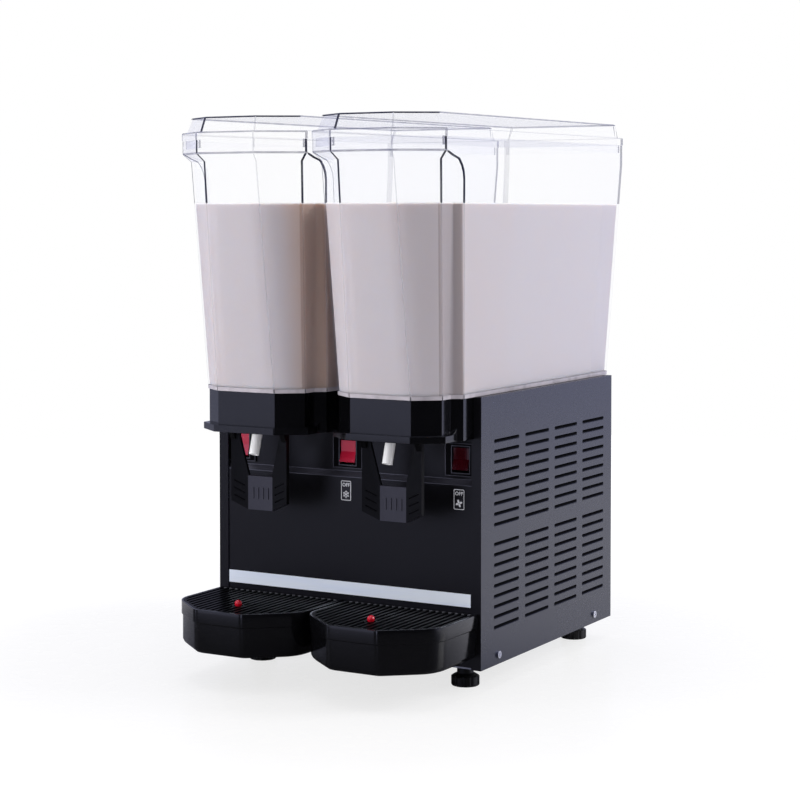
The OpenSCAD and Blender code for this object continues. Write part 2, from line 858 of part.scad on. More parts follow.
module fascia(side) {
    color(black_plastic) at_tank(side) difference() {
        union() {
            translate([0, 0, fascia_low]) linear_extrude(fascia_h) polygon(fascia_outline);
            translate([0, 0, fascia_low]) linear_extrude(flange_h) flange_outline();
            for (end = [-1, 1])
                translate([end * arch_x, flute_end, fascia_low + flange_h])
                    along_x(fascia_wall + flange_out) difference() {
                        translate([-fascia_arch_r, -eps]) square(fascia_arch_r);
                        translate([-fascia_arch_r, fascia_arch_r]) circle(r = fascia_arch_r);
                    }
            block([-neck_wide, -fascia_wall, fascia_low + flange_h], [neck_wide, recess_y, deck_under]);
        }
        difference() {
            translate([0, 0, fascia_low - cut])
                linear_extrude(fascia_under - fascia_low + cut) polygon(fascia_hollow);
            for (end = [-1, 1])
                translate([end * (lug_x + lug_t / 2), -pivot_reach, 0])
                    block([-lug_t / 2, -eye_r, pivot_z - eye_r], [lug_t / 2, eye_r, cab_top]);
        }
        block(
            [-neck_wide + fascia_wall, -2 * fascia_wall, fascia_low + flange_h + fascia_wall],
            [neck_wide - fascia_wall, recess_y + cut, deck_under - fascia_wall]
        );
        translate([0, -tap_reach, fascia_under - cut])
            cylinder(r = spigot_r + 2 * seat_gap, h = fascia_top_t + 2 * cut);
        translate([0, -pivot_reach, pivot_z])
            x_rod(pivot_r + run_gap, -lug_x - lug_t - cut, lug_x + lug_t + cut);
    }
}

module fascia_left() {
    fascia(-1);
}

module fascia_right() {
    fascia(1);
}

fork_r = 2.5;
fork_z = pivot_z - 4;
cross_r = 1.5;
lift_gap = 0.2;
cross_z = fork_z + fork_r + lift_gap + cross_r;
cross_l = 2 * tap_r + 10;
plunger_travel = 4;
slot_w = 2 * (cross_r + seat_gap);
bridge_t = 2;
bridge_z = cup_floor - tap_wall - bridge_t;
bridge_w = 2 * plunger_stem_r + 2;
collar_t = 1.5;
collar_z = cross_z + cross_r + 1;
collar_r = spring_r + spring_wire_r + 0.2;
head_play = 0.3;

module tap_spout(side) {
    bore = tap_r - tap_wall;
    spout_l = (spout_drop + tap_r) / cos(spout_lean);
    foot_z = fascia_low + tap_r;
    color(white_plastic) at_tank(side) translate([0, -tap_reach, 0]) difference() {
        union() {
            translate([0, 0, foot_z]) cylinder(r = tap_r, h = cup_floor - foot_z);
            translate([0, 0, foot_z]) sphere(r = tap_r);
            translate([0, 0, cup_floor - tap_wall])
                cylinder(r = cup_r, h = fascia_under - cup_floor + tap_wall);
            translate([0, 0, foot_z]) rotate([180 - spout_lean, 0, 0]) cylinder(r = spout_r, h = spout_l);
        }
        difference() {
            translate([0, 0, foot_z]) cylinder(r = bore, h = cab_top - foot_z);
            translate([0, 0, bridge_z + bridge_t / 2]) cube([2 * tap_r, bridge_w, bridge_t], center = true);
        }
        translate([0, 0, bridge_z - cut]) cylinder(r = plunger_stem_r + run_gap, h = bridge_t + 2 * cut);
        translate([0, 0, cup_floor]) cylinder(r = spigot_r + seat_gap, h = fascia_h);
        translate([0, 0, foot_z]) rotate([180 - spout_lean, 0, 0])
            cylinder(r = spout_r - tap_wall, h = spout_l + cut);
        translate([0, 0, cross_z + plunger_travel / 2])
            cube([cross_l, slot_w, slot_w + plunger_travel], center = true);
    }
}

module tap_spout_left() {
    tap_spout(-1);
}

module tap_spout_right() {
    tap_spout(1);
}

module tap_plunger(side) {
    head_low = tank_base - spigot_l + 1;
    head_top = tank_base + tank_floor - 1;
    stem_low = cross_z - cross_r - 1;
    color(white_plastic) at_tank(side) translate([0, -tap_reach, 0]) {
        translate([0, 0, head_low]) cylinder(r = spigot_bore_r - head_play, h = head_top - head_low);
        translate([0, 0, stem_low]) cylinder(r = plunger_stem_r, h = head_low - stem_low + eps);
        translate([0, 0, collar_z]) cylinder(r = collar_r, h = collar_t);
        translate([0, 0, cross_z]) x_rod(cross_r, -cross_l / 2, cross_l / 2);
    }
}

module tap_plunger_left() {
    tap_plunger(-1);
}

module tap_plunger_right() {
    tap_plunger(1);
}

spring_seat = 0.1;
spring_low = collar_z + collar_t + spring_seat + spring_wire_r;
spring_top = bridge_z - spring_seat - spring_wire_r;
rings_a_turn = 8;
wire_sides = 6;
spring_steps = spring_turns * rings_a_turn;

// Middle of the wire at one step along the coil
function spring_point(i) =
    let (a = 360 * i / rings_a_turn)
    [spring_r * cos(a), spring_r * sin(a), mix(spring_low, spring_top, i / spring_steps)];

spring_least_gap = min([
    for (i = [0 : spring_steps - rings_a_turn], j = [i + rings_a_turn / 2 : spring_steps])
        norm(spring_point(j) - spring_point(i)) - 2 * spring_wire_r
]);
echo(str("least gap between the tap spring's turns: ", spring_least_gap, " mm"));

module tap_spring(side) {
    color(bright_steel) at_tank(side) translate([0, -tap_reach, 0]) skin([
        for (i = [0 : spring_steps])
            let (middle = spring_point(i), out = [middle.x, middle.y, 0] / spring_r)
            [
                for (k = [0 : wire_sides - 1])
                    let (b = 360 * k / wire_sides)
                    middle + spring_wire_r * (cos(b) * out - sin(b) * [0, 0, 1])
            ]
    ]);
}

module tap_spring_left() {
    tap_spring(-1);
}

module tap_spring_right() {
    tap_spring(1);
}

pad_low = cab_top - lever_drop;
pad_top = pad_low + pad_h;
arm_top = fascia_low - 2;
eye_w = 7;
groove_w = 1.6;
groove_pitch = 9;

// Front outline of the right wing with its arm, from the pad's edge outwards
module wing_outline() {
    reach = (lever_w - pad_w) / 2;
    polygon([
        [-1, pad_low], [0, pad_low], [reach, pad_low + wing_rise], [reach, arm_top],
        [reach - arm_w, arm_top], [reach - arm_w, arm_top - 6], [-1, pad_top]
    ]);
}

module wing() {
    reach = (lever_w - pad_w) / 2;
    translate([pad_w / 2, -pad_reach, 0]) rotate(-wing_turn) difference() {
        translate([0, lever_t, 0]) rotate([90, 0, 0]) linear_extrude(lever_t) wing_outline();
        for (i = [1 : wing_grooves])
            translate([reach / 2, 0, pad_low + wing_rise / 2 + i * groove_pitch])
                rotate([0, -atan(wing_rise / reach), 0])
                    cube([0.7 * reach, groove_w, groove_w], center = true);
    }
}

// Arm from the wing's top to the pivot eye and the fork, as a side outline
module arm() {
    out = lever_w / 2;
    lead = -pad_reach - (lever_w - pad_w) / 2 * sin(wing_turn);
    translate([out - eye_w / 2, 0, 0]) along_x(eye_w) difference() {
        union() {
            polygon([
                [lead, arm_top - 10], [lead + lever_t, arm_top - 10],
                [-tap_reach + fork_r + 1, fork_z - fork_r], [-tap_reach + fork_r + 1, fork_z + fork_r],
                [-pivot_reach, pivot_z + eye_r], [-pivot_reach, pivot_z - eye_r]
            ]);
            translate([-pivot_reach, pivot_z]) circle(r = eye_r);
        }
        translate([-pivot_reach, pivot_z]) circle(r = pivot_r + run_gap);
    }
    translate([0, -tap_reach, fork_z]) x_rod(fork_r, tap_r + 1, out - eye_w / 2);
}

pad_ribs = 4;
pad_rib_w = 3;
pad_rib_t = 0.8;

module push_lever(side) {
    rib_step = pad_w / (pad_ribs + 1);
    color(black_plastic) at_tank(side) {
        block([-pad_w / 2, -pad_reach, pad_low], [pad_w / 2, lever_t - pad_reach, pad_top]);
        for (i = [1 : pad_ribs])
            translate([i * rib_step - pad_w / 2, -pad_reach, pad_low + pad_h / 2])
                cube([pad_rib_w, 2 * pad_rib_t, pad_h / 3], center = true);
        for (end = [0, 1])
            mirror([end, 0, 0]) {
                wing();
                arm();
            }
    }
}

module push_lever_left() {
    push_lever(-1);
}

module push_lever_right() {
    push_lever(1);
}

module lever_pin(side) {
    reach = lug_x + lug_t;
    color(bright_steel) at_tank(side) translate([0, -pivot_reach, pivot_z]) x_rod(pivot_r, -reach, reach);
}

module lever_pin_left() {
    lever_pin(-1);
}

module lever_pin_right() {
    lever_pin(1);
}

// Drip trays, with heights above the cabinet's underside
tray_low = tray_top - tray_h;
tray_corner_w = (tray_w - tray_flat) / 2;

// Closed tray outline, moved inwards by d, with its slanting corners blended
function tray_outline(d) =
    let (
        side = tray_w / 2 - d,
        front = d - tray_reach,
        flat = tray_flat / 2 - d * (tray_corner / tray_corner_w) / 3,
        shoulder = tray_corner - tray_reach + d / 3,
        rear = -seat_gap - max(d, 0),
        ease = d / 2
    )
    closed(concat(
        blended([0, front], [flat, front], [side, shoulder], tray_front_round - ease),
        blended([flat, front], [side, shoulder], [side, 0], tray_round - ease),
        [[side, rear]]
    ));

module drip_tray(side) {
    step = lip_step;
    inner = step + tray_wall + grille_ledge;
    ledge_z = tray_top - grille_t - seat_gap;
    color(black_plastic) at_tray(side) {
        difference() {
            skin([
                for (level = [
                    [0, step + 8], [1.2, step + 4.5], [3.5, step + 1.8], [7, step],
                    [tray_h - lip_h, step], [tray_h - lip_h + 1, 0], [tray_h, 0]
                ])
                    at_height(tray_outline(level[1]), tray_low + level[0])
            ]);
            skin([
                for (level = [[tray_wall, inner + 3], [9, inner], [tray_h + cut, inner]])
                    at_height(tray_outline(level[1]), tray_low + level[0])
            ]);
            translate([0, 0, ledge_z])
                linear_extrude(grille_t + seat_gap + cut) polygon(tray_outline(tray_wall));
        }
        for (end = [-1, 1])
            translate([end * tongue_pitch / 2, 0, tongue_z])
                block([-tongue_w / 2, -tray_wall, -tongue_t / 2], [tongue_w / 2, tongue_l, tongue_t / 2]);
    }
}

module drip_tray_left() {
    drip_tray(-1);
}

module drip_tray_right() {
    drip_tray(1);
}

float_hole_r = ball_r + 1.5;
cross_bars = 3;
cross_bar_w = 4;
cross_bar_t = 2;

module drip_grille(side) {
    low = tray_top - grille_t;
    ribs = floor((tray_w - 2 * grille_frame) / rib_pitch / 2);
    bar_step = tray_reach / (cross_bars + 1);
    color(black_plastic) at_tray(side) translate([0, 0, low]) difference() {
        union() {
            linear_extrude(grille_t) difference() {
                polygon(tray_outline(tray_wall + seat_gap));
                polygon(tray_outline(tray_wall + seat_gap + grille_frame));
            }
            linear_extrude(grille_t) intersection() {
                polygon(tray_outline(tray_wall + seat_gap + grille_frame / 2));
                for (i = [-ribs : ribs])
                    translate([i * rib_pitch, -tray_reach / 2])
                        square([rib_w, 2 * tray_reach], center = true);
            }
            linear_extrude(cross_bar_t) intersection() {
                polygon(tray_outline(tray_wall + seat_gap + grille_frame / 2));
                for (i = [1 : cross_bars])
                    translate([0, -i * bar_step]) square([2 * tray_w, cross_bar_w], center = true);
            }
            translate([0, -float_reach, 0]) cylinder(r = float_hole_r + 2, h = grille_t);
        }
        translate([0, -float_reach, -cut]) cylinder(r = float_hole_r, h = grille_t + 2 * cut);
    }
}

module drip_grille_left() {
    drip_grille(-1);
}

module drip_grille_right() {
    drip_grille(1);
}

float_stem_r = 1.5;

module float_indicator(side) {
    low = tray_low + tray_wall + seat_gap;
    ball_z = tray_top + ball_rise;
    color(red_plastic) at_tray(side) translate([0, -float_reach, 0]) {
        translate([0, 0, low]) cylinder(r = puck_r, h = puck_h);
        translate([0, 0, low]) cylinder(r = float_stem_r, h = ball_z - low);
        translate([0, 0, ball_z]) sphere(r = ball_r);
    }
}

module float_left() {
    float_indicator(-1);
}

module float_right() {
    float_indicator(1);
}

// Switches: the rockers turn about X on small trunnions
housing_outer_w = rocker_w + 2 * housing_wall;
housing_outer_h = rocker_h + 5;
housing_hole_w = housing_outer_w + 2 * seat_gap;
housing_hole_h = housing_outer_h + 2 * seat_gap;
rocker_y = recess_y - bezel_t + 7;
trunnion_r = 1.5;
trunnion_l = 1.5;
rocker_play = 0.4;

module switch_housings() {
    color(black_plastic) placed()
        for (x = switch_places)
            translate([x, recess_y, switch_z]) difference() {
                union() {
                    translate([-bezel_w / 2, -bezel_t, -bezel_h / 2]) cube([bezel_w, bezel_t, bezel_h]);
                    translate([-housing_outer_w / 2, -eps, -housing_outer_h / 2])
                        cube([housing_outer_w, housing_d, housing_outer_h]);
                }
                block(
                    [-rocker_w / 2 - rocker_play, -bezel_t - cut, 1 - housing_outer_h / 2],
                    [rocker_w / 2 + rocker_play, housing_d - housing_wall, housing_outer_h / 2 - 1]
                );
                translate([0, rocker_y - recess_y, 0])
                    x_rod(trunnion_r + run_gap, -housing_outer_w / 2 - cut, housing_outer_w / 2 + cut);
            }
}

module rocker(x) {
    tip = rocker_h / 2;
    trunnion = rocker_w / 2 + trunnion_l;
    color(red_plastic) placed() translate([x, rocker_y, switch_z]) rotate([-rocker_tilt, 0, 0]) {
        along_x(rocker_w) polygon([
            [-7.5, tip - 0.5], [-5.5, 0], [-7.5, 0.5 - tip], [-5.5, -tip],
            [3, 2 - tip], [6, 0], [3, tip - 2], [-5.5, tip]
        ]);
        x_rod(trunnion_r, -trunnion, trunnion);
    }
}

module rocker_left() {
    rocker(-switch_pitch);
}

module rocker_middle() {
    rocker(0);
}

module rocker_right() {
    rocker(switch_pitch);
}

// Mixers: cold plate, gasket, paddle, drive magnet and motor, on one vertical axis per tank
plate_top = cab_top + plate_h;
magnet_gap = 2;
magnet_top = plate_top - plate_t - magnet_gap;
magnet_low = magnet_top - magnet_t;
flange_low = deck_under - plate_t;
stub_l = 14;
stub_r = plate_flange_r - 8;
motor_plate_t = 3;
motor_gap = 11;
motor_plate_top = flange_low - motor_gap;
post_r = 4;
posts = 3;
shaft_r = 3;

module cold_plate(side) {
    color(bright_steel) at_tank(side) translate([0, mixer_y, 0]) {
        rotate_extrude() polygon([
            [0, plate_top - plate_t],
            [plate_r - 2 * plate_t, plate_top - plate_t], [plate_r - 2 * plate_t, flange_low],
            [plate_flange_r, flange_low], [plate_flange_r, deck_under], [plate_r, deck_under],
            [plate_r, plate_top - plate_t], [plate_r - plate_t, plate_top], [stud_r, plate_top],
            [stud_r, plate_top + stud_h], [0, plate_top + stud_h]
        ]);
        translate([0, -stub_r, flange_low - stub_l]) cylinder(r = pipe_r, h = stub_l);
    }
}

module cold_plate_left() {
    cold_plate(-1);
}

module cold_plate_right() {
    cold_plate(1);
}

module tank_gasket(side) {
    color(rubber) at_tank(side) translate([0, mixer_y, cab_top]) difference() {
        cylinder(r = gasket_r, h = tank_floor + 1);
        translate([0, 0, -cut]) cylinder(r = plate_r + run_gap, h = tank_floor + 1 + 2 * cut);
    }
}

module tank_gasket_left() {
    tank_gasket(-1);
}

module tank_gasket_right() {
    tank_gasket(1);
}

vanes = 4;
hub_r = 10;
paddle_disc_r = 30;
paddle_disc_t = 2;

module mixer_paddle(side) {
    low = plate_top + seat_gap;
    color(white_plastic) at_tank(side) translate([0, mixer_y, low]) difference() {
        union() {
            cylinder(r = hub_r, h = stud_h - 2);
            cylinder(r = paddle_disc_r, h = paddle_disc_t);
            for (i = [0 : vanes - 1])
                rotate(360 * i / vanes) translate([0, -vane_t / 2, 0]) cube([paddle_r, vane_t, vane_h]);
        }
        translate([0, 0, -cut]) cylinder(r = stud_r + run_gap, h = stud_h + cut);
    }
}

module mixer_paddle_left() {
    mixer_paddle(-1);
}

module mixer_paddle_right() {
    mixer_paddle(1);
}

shaft_depth = 30;

module drive_magnet(side) {
    color(zinc_steel) at_tank(side) translate([0, mixer_y, 0]) {
        translate([0, 0, magnet_low]) cylinder(r = magnet_r, h = magnet_t);
        translate([0, 0, motor_plate_top - shaft_depth])
            cylinder(r = shaft_r, h = magnet_low - motor_plate_top + shaft_depth + eps);
    }
}

module drive_magnet_left() {
    drive_magnet(-1);
}

module drive_magnet_right() {
    drive_magnet(1);
}

module mixer_motor(side) {
    plate_low = motor_plate_top - motor_plate_t;
    color(zinc_steel) at_tank(side) translate([0, mixer_y, 0]) difference() {
        union() {
            translate([0, 0, plate_low - motor_h]) cylinder(r = motor_r, h = motor_h + eps);
            translate([0, 0, plate_low]) cylinder(r = plate_flange_r - 3, h = motor_plate_t);
            for (i = [0 : posts - 1])
                rotate(90 + 360 * i / posts)
                    translate([stub_r, 0, plate_low]) cylinder(r = post_r, h = flange_low - plate_low);
        }
        translate([0, 0, motor_plate_top - shaft_depth - 1])
            cylinder(r = shaft_r + run_gap, h = shaft_depth + 2);
        translate([0, -stub_r, plate_low - cut]) cylinder(r = pipe_r + 4, h = motor_plate_t + 2 * cut);
    }
}

module mixer_motor_left() {
    mixer_motor(-1);
}

module mixer_motor_right() {
    mixer_motor(1);
}

// Refrigeration inside the cabinet
mount_h = 12;
mount_r = 9;
comp_y = cab_d - comp_rear;
comp_foot = 62;
comp_edge = comp_foot + mount_r;
comp_plate_t = 3;
comp_low = pan_top + mount_h;
comp_top = comp_low + comp_plate_t + comp_h;
comp_stub_r = 38;
comp_stub_top = comp_top + 14;
comp_places = [[-1, -1], [1, -1], [-1, 1], [1, 1]];

module compressor() {
    shell_low = comp_low + comp_plate_t;
    color(black_paint) placed() translate([-comp_x, comp_y, 0]) {
        block([-comp_edge, -comp_edge, comp_low], [comp_edge, comp_edge, shell_low]);
        rotate_extrude() polygon([
            [0, shell_low - eps], [comp_r - 10, shell_low - eps],
            [comp_r, shell_low + 14], [comp_r, comp_top - 34],
            [comp_r - 8, comp_top - 16], [comp_r - 24, comp_top - 5], [0, comp_top]
        ]);
        for (side = [-1, 1])
            translate([side * comp_stub_r, 0, comp_top - 30])
                cylinder(r = pipe_r, h = comp_stub_top - comp_top + 30);
    }
}

module compressor_mounts() {
    color(rubber) placed() translate([-comp_x, comp_y, pan_top])
        for (place = comp_places)
            translate([place.x * comp_foot, place.y * comp_foot, 0]) cylinder(r = mount_r, h = mount_h);
}

fin_t = 1.2;
end_t = 2;
cond_rows = 6;
cond_tube_r = 4.5;
cond_stub_l = 8;
cond_tube_pitch = 29;
cond_first = 30;
cond_rear = cab_d - cond_tail;
cond_l = cond_rear - cond_y;
cond_mid = cond_x + cond_t / 2;
cond_in_z = pan_top + cond_first + (cond_rows - 1) * cond_tube_pitch;
cond_out_z = pan_top + cond_first;

module condenser() {
    fins = floor((cond_l - end_t) / fin_pitch);
    color(bright_steel) placed() {
        for (y = [cond_y, cond_rear - end_t])
            block([cond_x, y, pan_top], [cond_x + cond_t, y + end_t, pan_top + cond_h]);
        for (i = [1 : fins - 1])
            translate([0, cond_y + i * fin_pitch, pan_top])
                block([cond_x, 0, 6], [cond_x + cond_t, fin_t, cond_h - 6]);
        for (row = [0 : cond_rows - 1], column = [-1, 1])
            translate([cond_mid + column * cond_t / 4, 0, pan_top + cond_first + row * cond_tube_pitch])
                y_rod(cond_tube_r, cond_y, cond_rear);
        translate([cond_mid, 0, cond_in_z]) y_rod(pipe_r, cond_rear - eps, cond_rear + cond_stub_l);
        translate([cond_mid, 0, cond_out_z]) y_rod(pipe_r, cond_y - cond_stub_l, cond_y + eps);
    }
}

fan_y = cond_y + cond_l / 2;
fan_z = pan_top + cond_h / 2;
shroud_x = cond_x - shroud_d;
shroud_t = 3;
fan_ring_gap = 3;

module fan_shroud() {
    color(black_plastic) placed() difference() {
        block([shroud_x, cond_y, pan_top], [cond_x, cond_rear, pan_top + cond_h]);
        block(
            [shroud_x + shroud_t, cond_y + shroud_t, pan_top + shroud_t],
            [cond_x + cut, cond_rear - shroud_t, pan_top + cond_h - shroud_t]
        );
        translate([0, fan_y, fan_z]) x_rod(fan_r + fan_ring_gap, shroud_x - cut, shroud_x + shroud_t + cut);
    }
}

bracket_t = 4;
bracket_w = 12;
fan_motor_r = 28;
fan_motor_l = 40;
fan_hub_w = 12;
fan_hub_r = 18;
fan_hub_x = shroud_x + shroud_t + 2;

module fan_motor() {
    reach = fan_r + fan_ring_gap + 6;
    color(zinc_steel) placed() translate([0, fan_y, fan_z]) {
        x_rod(fan_motor_r, shroud_x - bracket_t - fan_motor_l, shroud_x - bracket_t);
        for (turn = [0, 90])
            rotate([turn, 0, 0])
                block([shroud_x - bracket_t - eps, -reach, -bracket_w / 2], [shroud_x, reach, bracket_w / 2]);
        x_rod(shaft_r, shroud_x - eps, fan_hub_x + fan_hub_w);
    }
}

fan_blades = 5;
blade_t = 2;
blade_w = 26;
blade_pitch = 24;

module cooling_fan() {
    color(black_plastic) placed() translate([0, fan_y, fan_z]) difference() {
        union() {
            x_rod(fan_hub_r, fan_hub_x, fan_hub_x + fan_hub_w);
            for (i = [0 : fan_blades - 1])
                rotate([360 * i / fan_blades, 0, 0]) translate([fan_hub_x + fan_hub_w / 2, 0, 0])
                    rotate([0, 0, blade_pitch]) block(
                        [-blade_t / 2, -blade_w / 2, fan_hub_r - 4],
                        [blade_t / 2, blade_w / 2, fan_r - 4]
                    );
        }
        x_rod(shaft_r + run_gap, fan_hub_x - cut, fan_hub_x + fan_hub_w + cut);
    }
}

drier_y = 38;
drier_l = 100;
drier_x = -10;

module filter_drier() {
    color(copper) placed() translate([0, drier_y, cond_out_z])
        x_rod(drier_r, drier_x - drier_l / 2, drier_x + drier_l / 2);
}

// Pipe along straight runs, with brazed elbows at the bends
module pipe(route) {
    for (i = [0 : len(route) - 2]) {
        run = route[i + 1] - route[i];
        translate(route[i])
            rotate([0, acos(run.z / norm(run)), atan2(run.y, run.x)]) cylinder(r = pipe_r, h = norm(run));
    }
    for (i = [1 : len(route) - 2]) translate(route[i]) sphere(r = 1.35 * pipe_r);
}

module refrigerant_pipes() {
    stub_y = mixer_y - stub_r;
    stub_low = flange_low - stub_l;
    loop_z = stub_low - 16;
    rise_z = comp_stub_top + 16;
    return_z = comp_stub_top + 30;
    back_y = cond_rear + cond_stub_l + 16;
    drop_x = drier_x - drier_l / 2 - 20;
    color(copper) placed() {
        pipe([
            [cond_mid, cond_rear + cond_stub_l, cond_in_z], [cond_mid, back_y, cond_in_z],
            [-comp_x - comp_stub_r, back_y, cond_in_z], [-comp_x - comp_stub_r, back_y, rise_z],
            [-comp_x - comp_stub_r, comp_y, rise_z], [-comp_x - comp_stub_r, comp_y, comp_stub_top]
        ]);
        pipe([
            [cond_mid, cond_y - cond_stub_l, cond_out_z], [cond_mid, drier_y, cond_out_z],
            [drier_x + drier_l / 2, drier_y, cond_out_z]
        ]);
        pipe([
            [drier_x - drier_l / 2, drier_y, cond_out_z], [drop_x, drier_y, cond_out_z],
            [drop_x, drier_y, loop_z], [drop_x, stub_y, loop_z]
        ]);
        pipe([
            [-tank_x, stub_y, stub_low], [-tank_x, stub_y, loop_z],
            [tank_x, stub_y, loop_z], [tank_x, stub_y, stub_low]
        ]);
        pipe([
            [0, stub_y, loop_z], [0, stub_y, return_z], [0, comp_y, return_z],
            [comp_stub_r - comp_x, comp_y, return_z], [comp_stub_r - comp_x, comp_y, comp_stub_top]
        ]);
    }
}

thermo_x = 50;
thermo_size = 40;
thermo_d = 30;
thermo_knob_r = 8;

module thermostat() {
    back = recess_y + sheet;
    half = thermo_size / 2;
    color(zinc_steel) placed() translate([thermo_x, back, switch_z]) {
        block([-half, 0, -half], [half, thermo_d, half]);
        y_rod(thermo_knob_r, thermo_d - eps, thermo_d + thermo_knob_r);
    }
}

base_pan();
front_panel();
rear_panel();
left_side_panel();
right_side_panel();
top_deck();
case_screws();
front_strip();
cord_gland();
foot_front_left();
foot_front_right();
foot_rear_left();
foot_rear_right();
tank_left();
tank_right();
lid_left();
lid_right();
fascia_left();
fascia_right();
tap_spout_left();
tap_spout_right();
tap_plunger_left();
tap_plunger_right();
tap_spring_left();
tap_spring_right();
push_lever_left();
push_lever_right();
lever_pin_left();
lever_pin_right();
drip_tray_left();
drip_tray_right();
drip_grille_left();
drip_grille_right();
float_left();
float_right();
switch_housings();
rocker_left();
rocker_middle();
rocker_right();
cold_plate_left();
cold_plate_right();
tank_gasket_left();
tank_gasket_right();
mixer_paddle_left();
mixer_paddle_right();
drive_magnet_left();
drive_magnet_right();
mixer_motor_left();
mixer_motor_right();
compressor();
compressor_mounts();
condenser();
fan_shroud();
fan_motor();
cooling_fan();
filter_drier();
refrigerant_pipes();
thermostat();
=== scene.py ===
"""Looks of the twin-tank cold drink dispenser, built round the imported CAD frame."""

import json
import logging
import math
from dataclasses import dataclass, field
from enum import Enum
from typing import Callable, Sequence, Union

import bmesh
import bpy
from bmesh.types import BMEdge, BMesh, BMFace, BMVert
from bpy.types import Object
from mathutils import Matrix, Vector

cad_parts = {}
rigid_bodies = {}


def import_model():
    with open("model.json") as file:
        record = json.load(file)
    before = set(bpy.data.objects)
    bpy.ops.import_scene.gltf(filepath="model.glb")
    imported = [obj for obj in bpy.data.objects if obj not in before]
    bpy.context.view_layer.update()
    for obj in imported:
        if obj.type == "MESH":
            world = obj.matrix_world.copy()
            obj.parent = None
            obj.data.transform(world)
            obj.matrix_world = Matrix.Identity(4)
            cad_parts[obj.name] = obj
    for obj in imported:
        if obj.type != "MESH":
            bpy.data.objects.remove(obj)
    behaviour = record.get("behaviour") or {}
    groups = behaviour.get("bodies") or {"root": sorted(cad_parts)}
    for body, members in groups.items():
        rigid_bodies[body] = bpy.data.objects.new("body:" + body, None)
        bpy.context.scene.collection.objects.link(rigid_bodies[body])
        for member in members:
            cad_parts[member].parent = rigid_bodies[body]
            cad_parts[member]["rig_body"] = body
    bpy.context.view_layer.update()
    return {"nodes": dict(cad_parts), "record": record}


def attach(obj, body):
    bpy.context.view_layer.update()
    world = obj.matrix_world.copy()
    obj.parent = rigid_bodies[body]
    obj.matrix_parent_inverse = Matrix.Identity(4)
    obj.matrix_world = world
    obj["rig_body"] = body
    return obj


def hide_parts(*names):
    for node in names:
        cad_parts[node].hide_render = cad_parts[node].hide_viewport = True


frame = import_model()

LOG = logging.getLogger("dispenser")
MM = 0.001
# In millimetres: cabinet's front ahead of the origin, a tank's axis beside the middle, the drink's height
CABINET_FRONT = 142.15
TANK_AXIS = 93.0
DRINK_LEVEL = 576.0
# Upright share of a normal from which a face counts as level
LEVEL_FACE = 0.7
# Depths of moulded grain, in metres
FINE = 0.00001
POLISHED = 0.000004
Rgb = tuple[float, float, float, float]


def srgb(red: int, green: int, blue: int) -> Rgb:
    """Linear colour of 8-bit screen values.

    Args:
        red: Red, 0 to 255.
        green: Green, 0 to 255.
        blue: Blue, 0 to 255.

    Returns:
        The linear colour with full alpha.
    """
    linear = (v / 255 / 12.92 if v < 11 else ((v / 255 + 0.055) / 1.055) ** 2.4 for v in (red, green, blue))
    return (*linear, 1.0)


def at(x: float, y: float, z: float) -> Vector:
    """Point in metres from millimetres measured from the cabinet's front face.

    Args:
        x: Distance right of the middle.
        y: Distance behind the cabinet's front face.
        z: Height above the floor.

    Returns:
        The point in the frame's metres.
    """
    return Vector((x, y - CABINET_FRONT, z)) * MM


class Side(Enum):
    """Which of the two tanks a piece belongs to."""

    LEFT = -1
    RIGHT = 1

    @property
    def word(self) -> str:
        """The side's word in node names."""
        return self.name.lower()


class Sign(Enum):
    """Symbol on a switch label."""

    COOLING = "cooling"
    MIXING = "mixing"


class Line(Enum):
    """How an edge of clear plastic shows as a painted refraction line; the value is its material number."""

    STRONG = 1
    MEDIUM = 2
    FAINT = 3
    WET = 4


class Sock:
    """A shader socket that takes part in Python expressions."""

    def __init__(self, book: "NodeBook", socket: bpy.types.NodeSocket) -> None:
        """Keep the socket and the tree it belongs to."""
        self.book = book
        self.socket = socket

    def _math(self, operation: str, first: "Value", second: "Value") -> "Sock":
        """Math node on two values."""
        return self.book.add("ShaderNodeMath", {"operation": operation}, {0: first, 1: second})

    def __add__(self, other: "Value") -> "Sock":
        """This plus other."""
        return self._math("ADD", self, other)

    def __sub__(self, other: "Value") -> "Sock":
        """This minus other."""
        return self._math("SUBTRACT", self, other)

    def __rsub__(self, other: "Value") -> "Sock":
        """Other minus this."""
        return self._math("SUBTRACT", other, self)

    def __mul__(self, other: "Value") -> "Sock":
        """This times other."""
        return self._math("MULTIPLY", self, other)

    def __pow__(self, other: "Value") -> "Sock":
        """This to a power."""
        return self._math("POWER", self, other)


Value = Union[Sock, float]


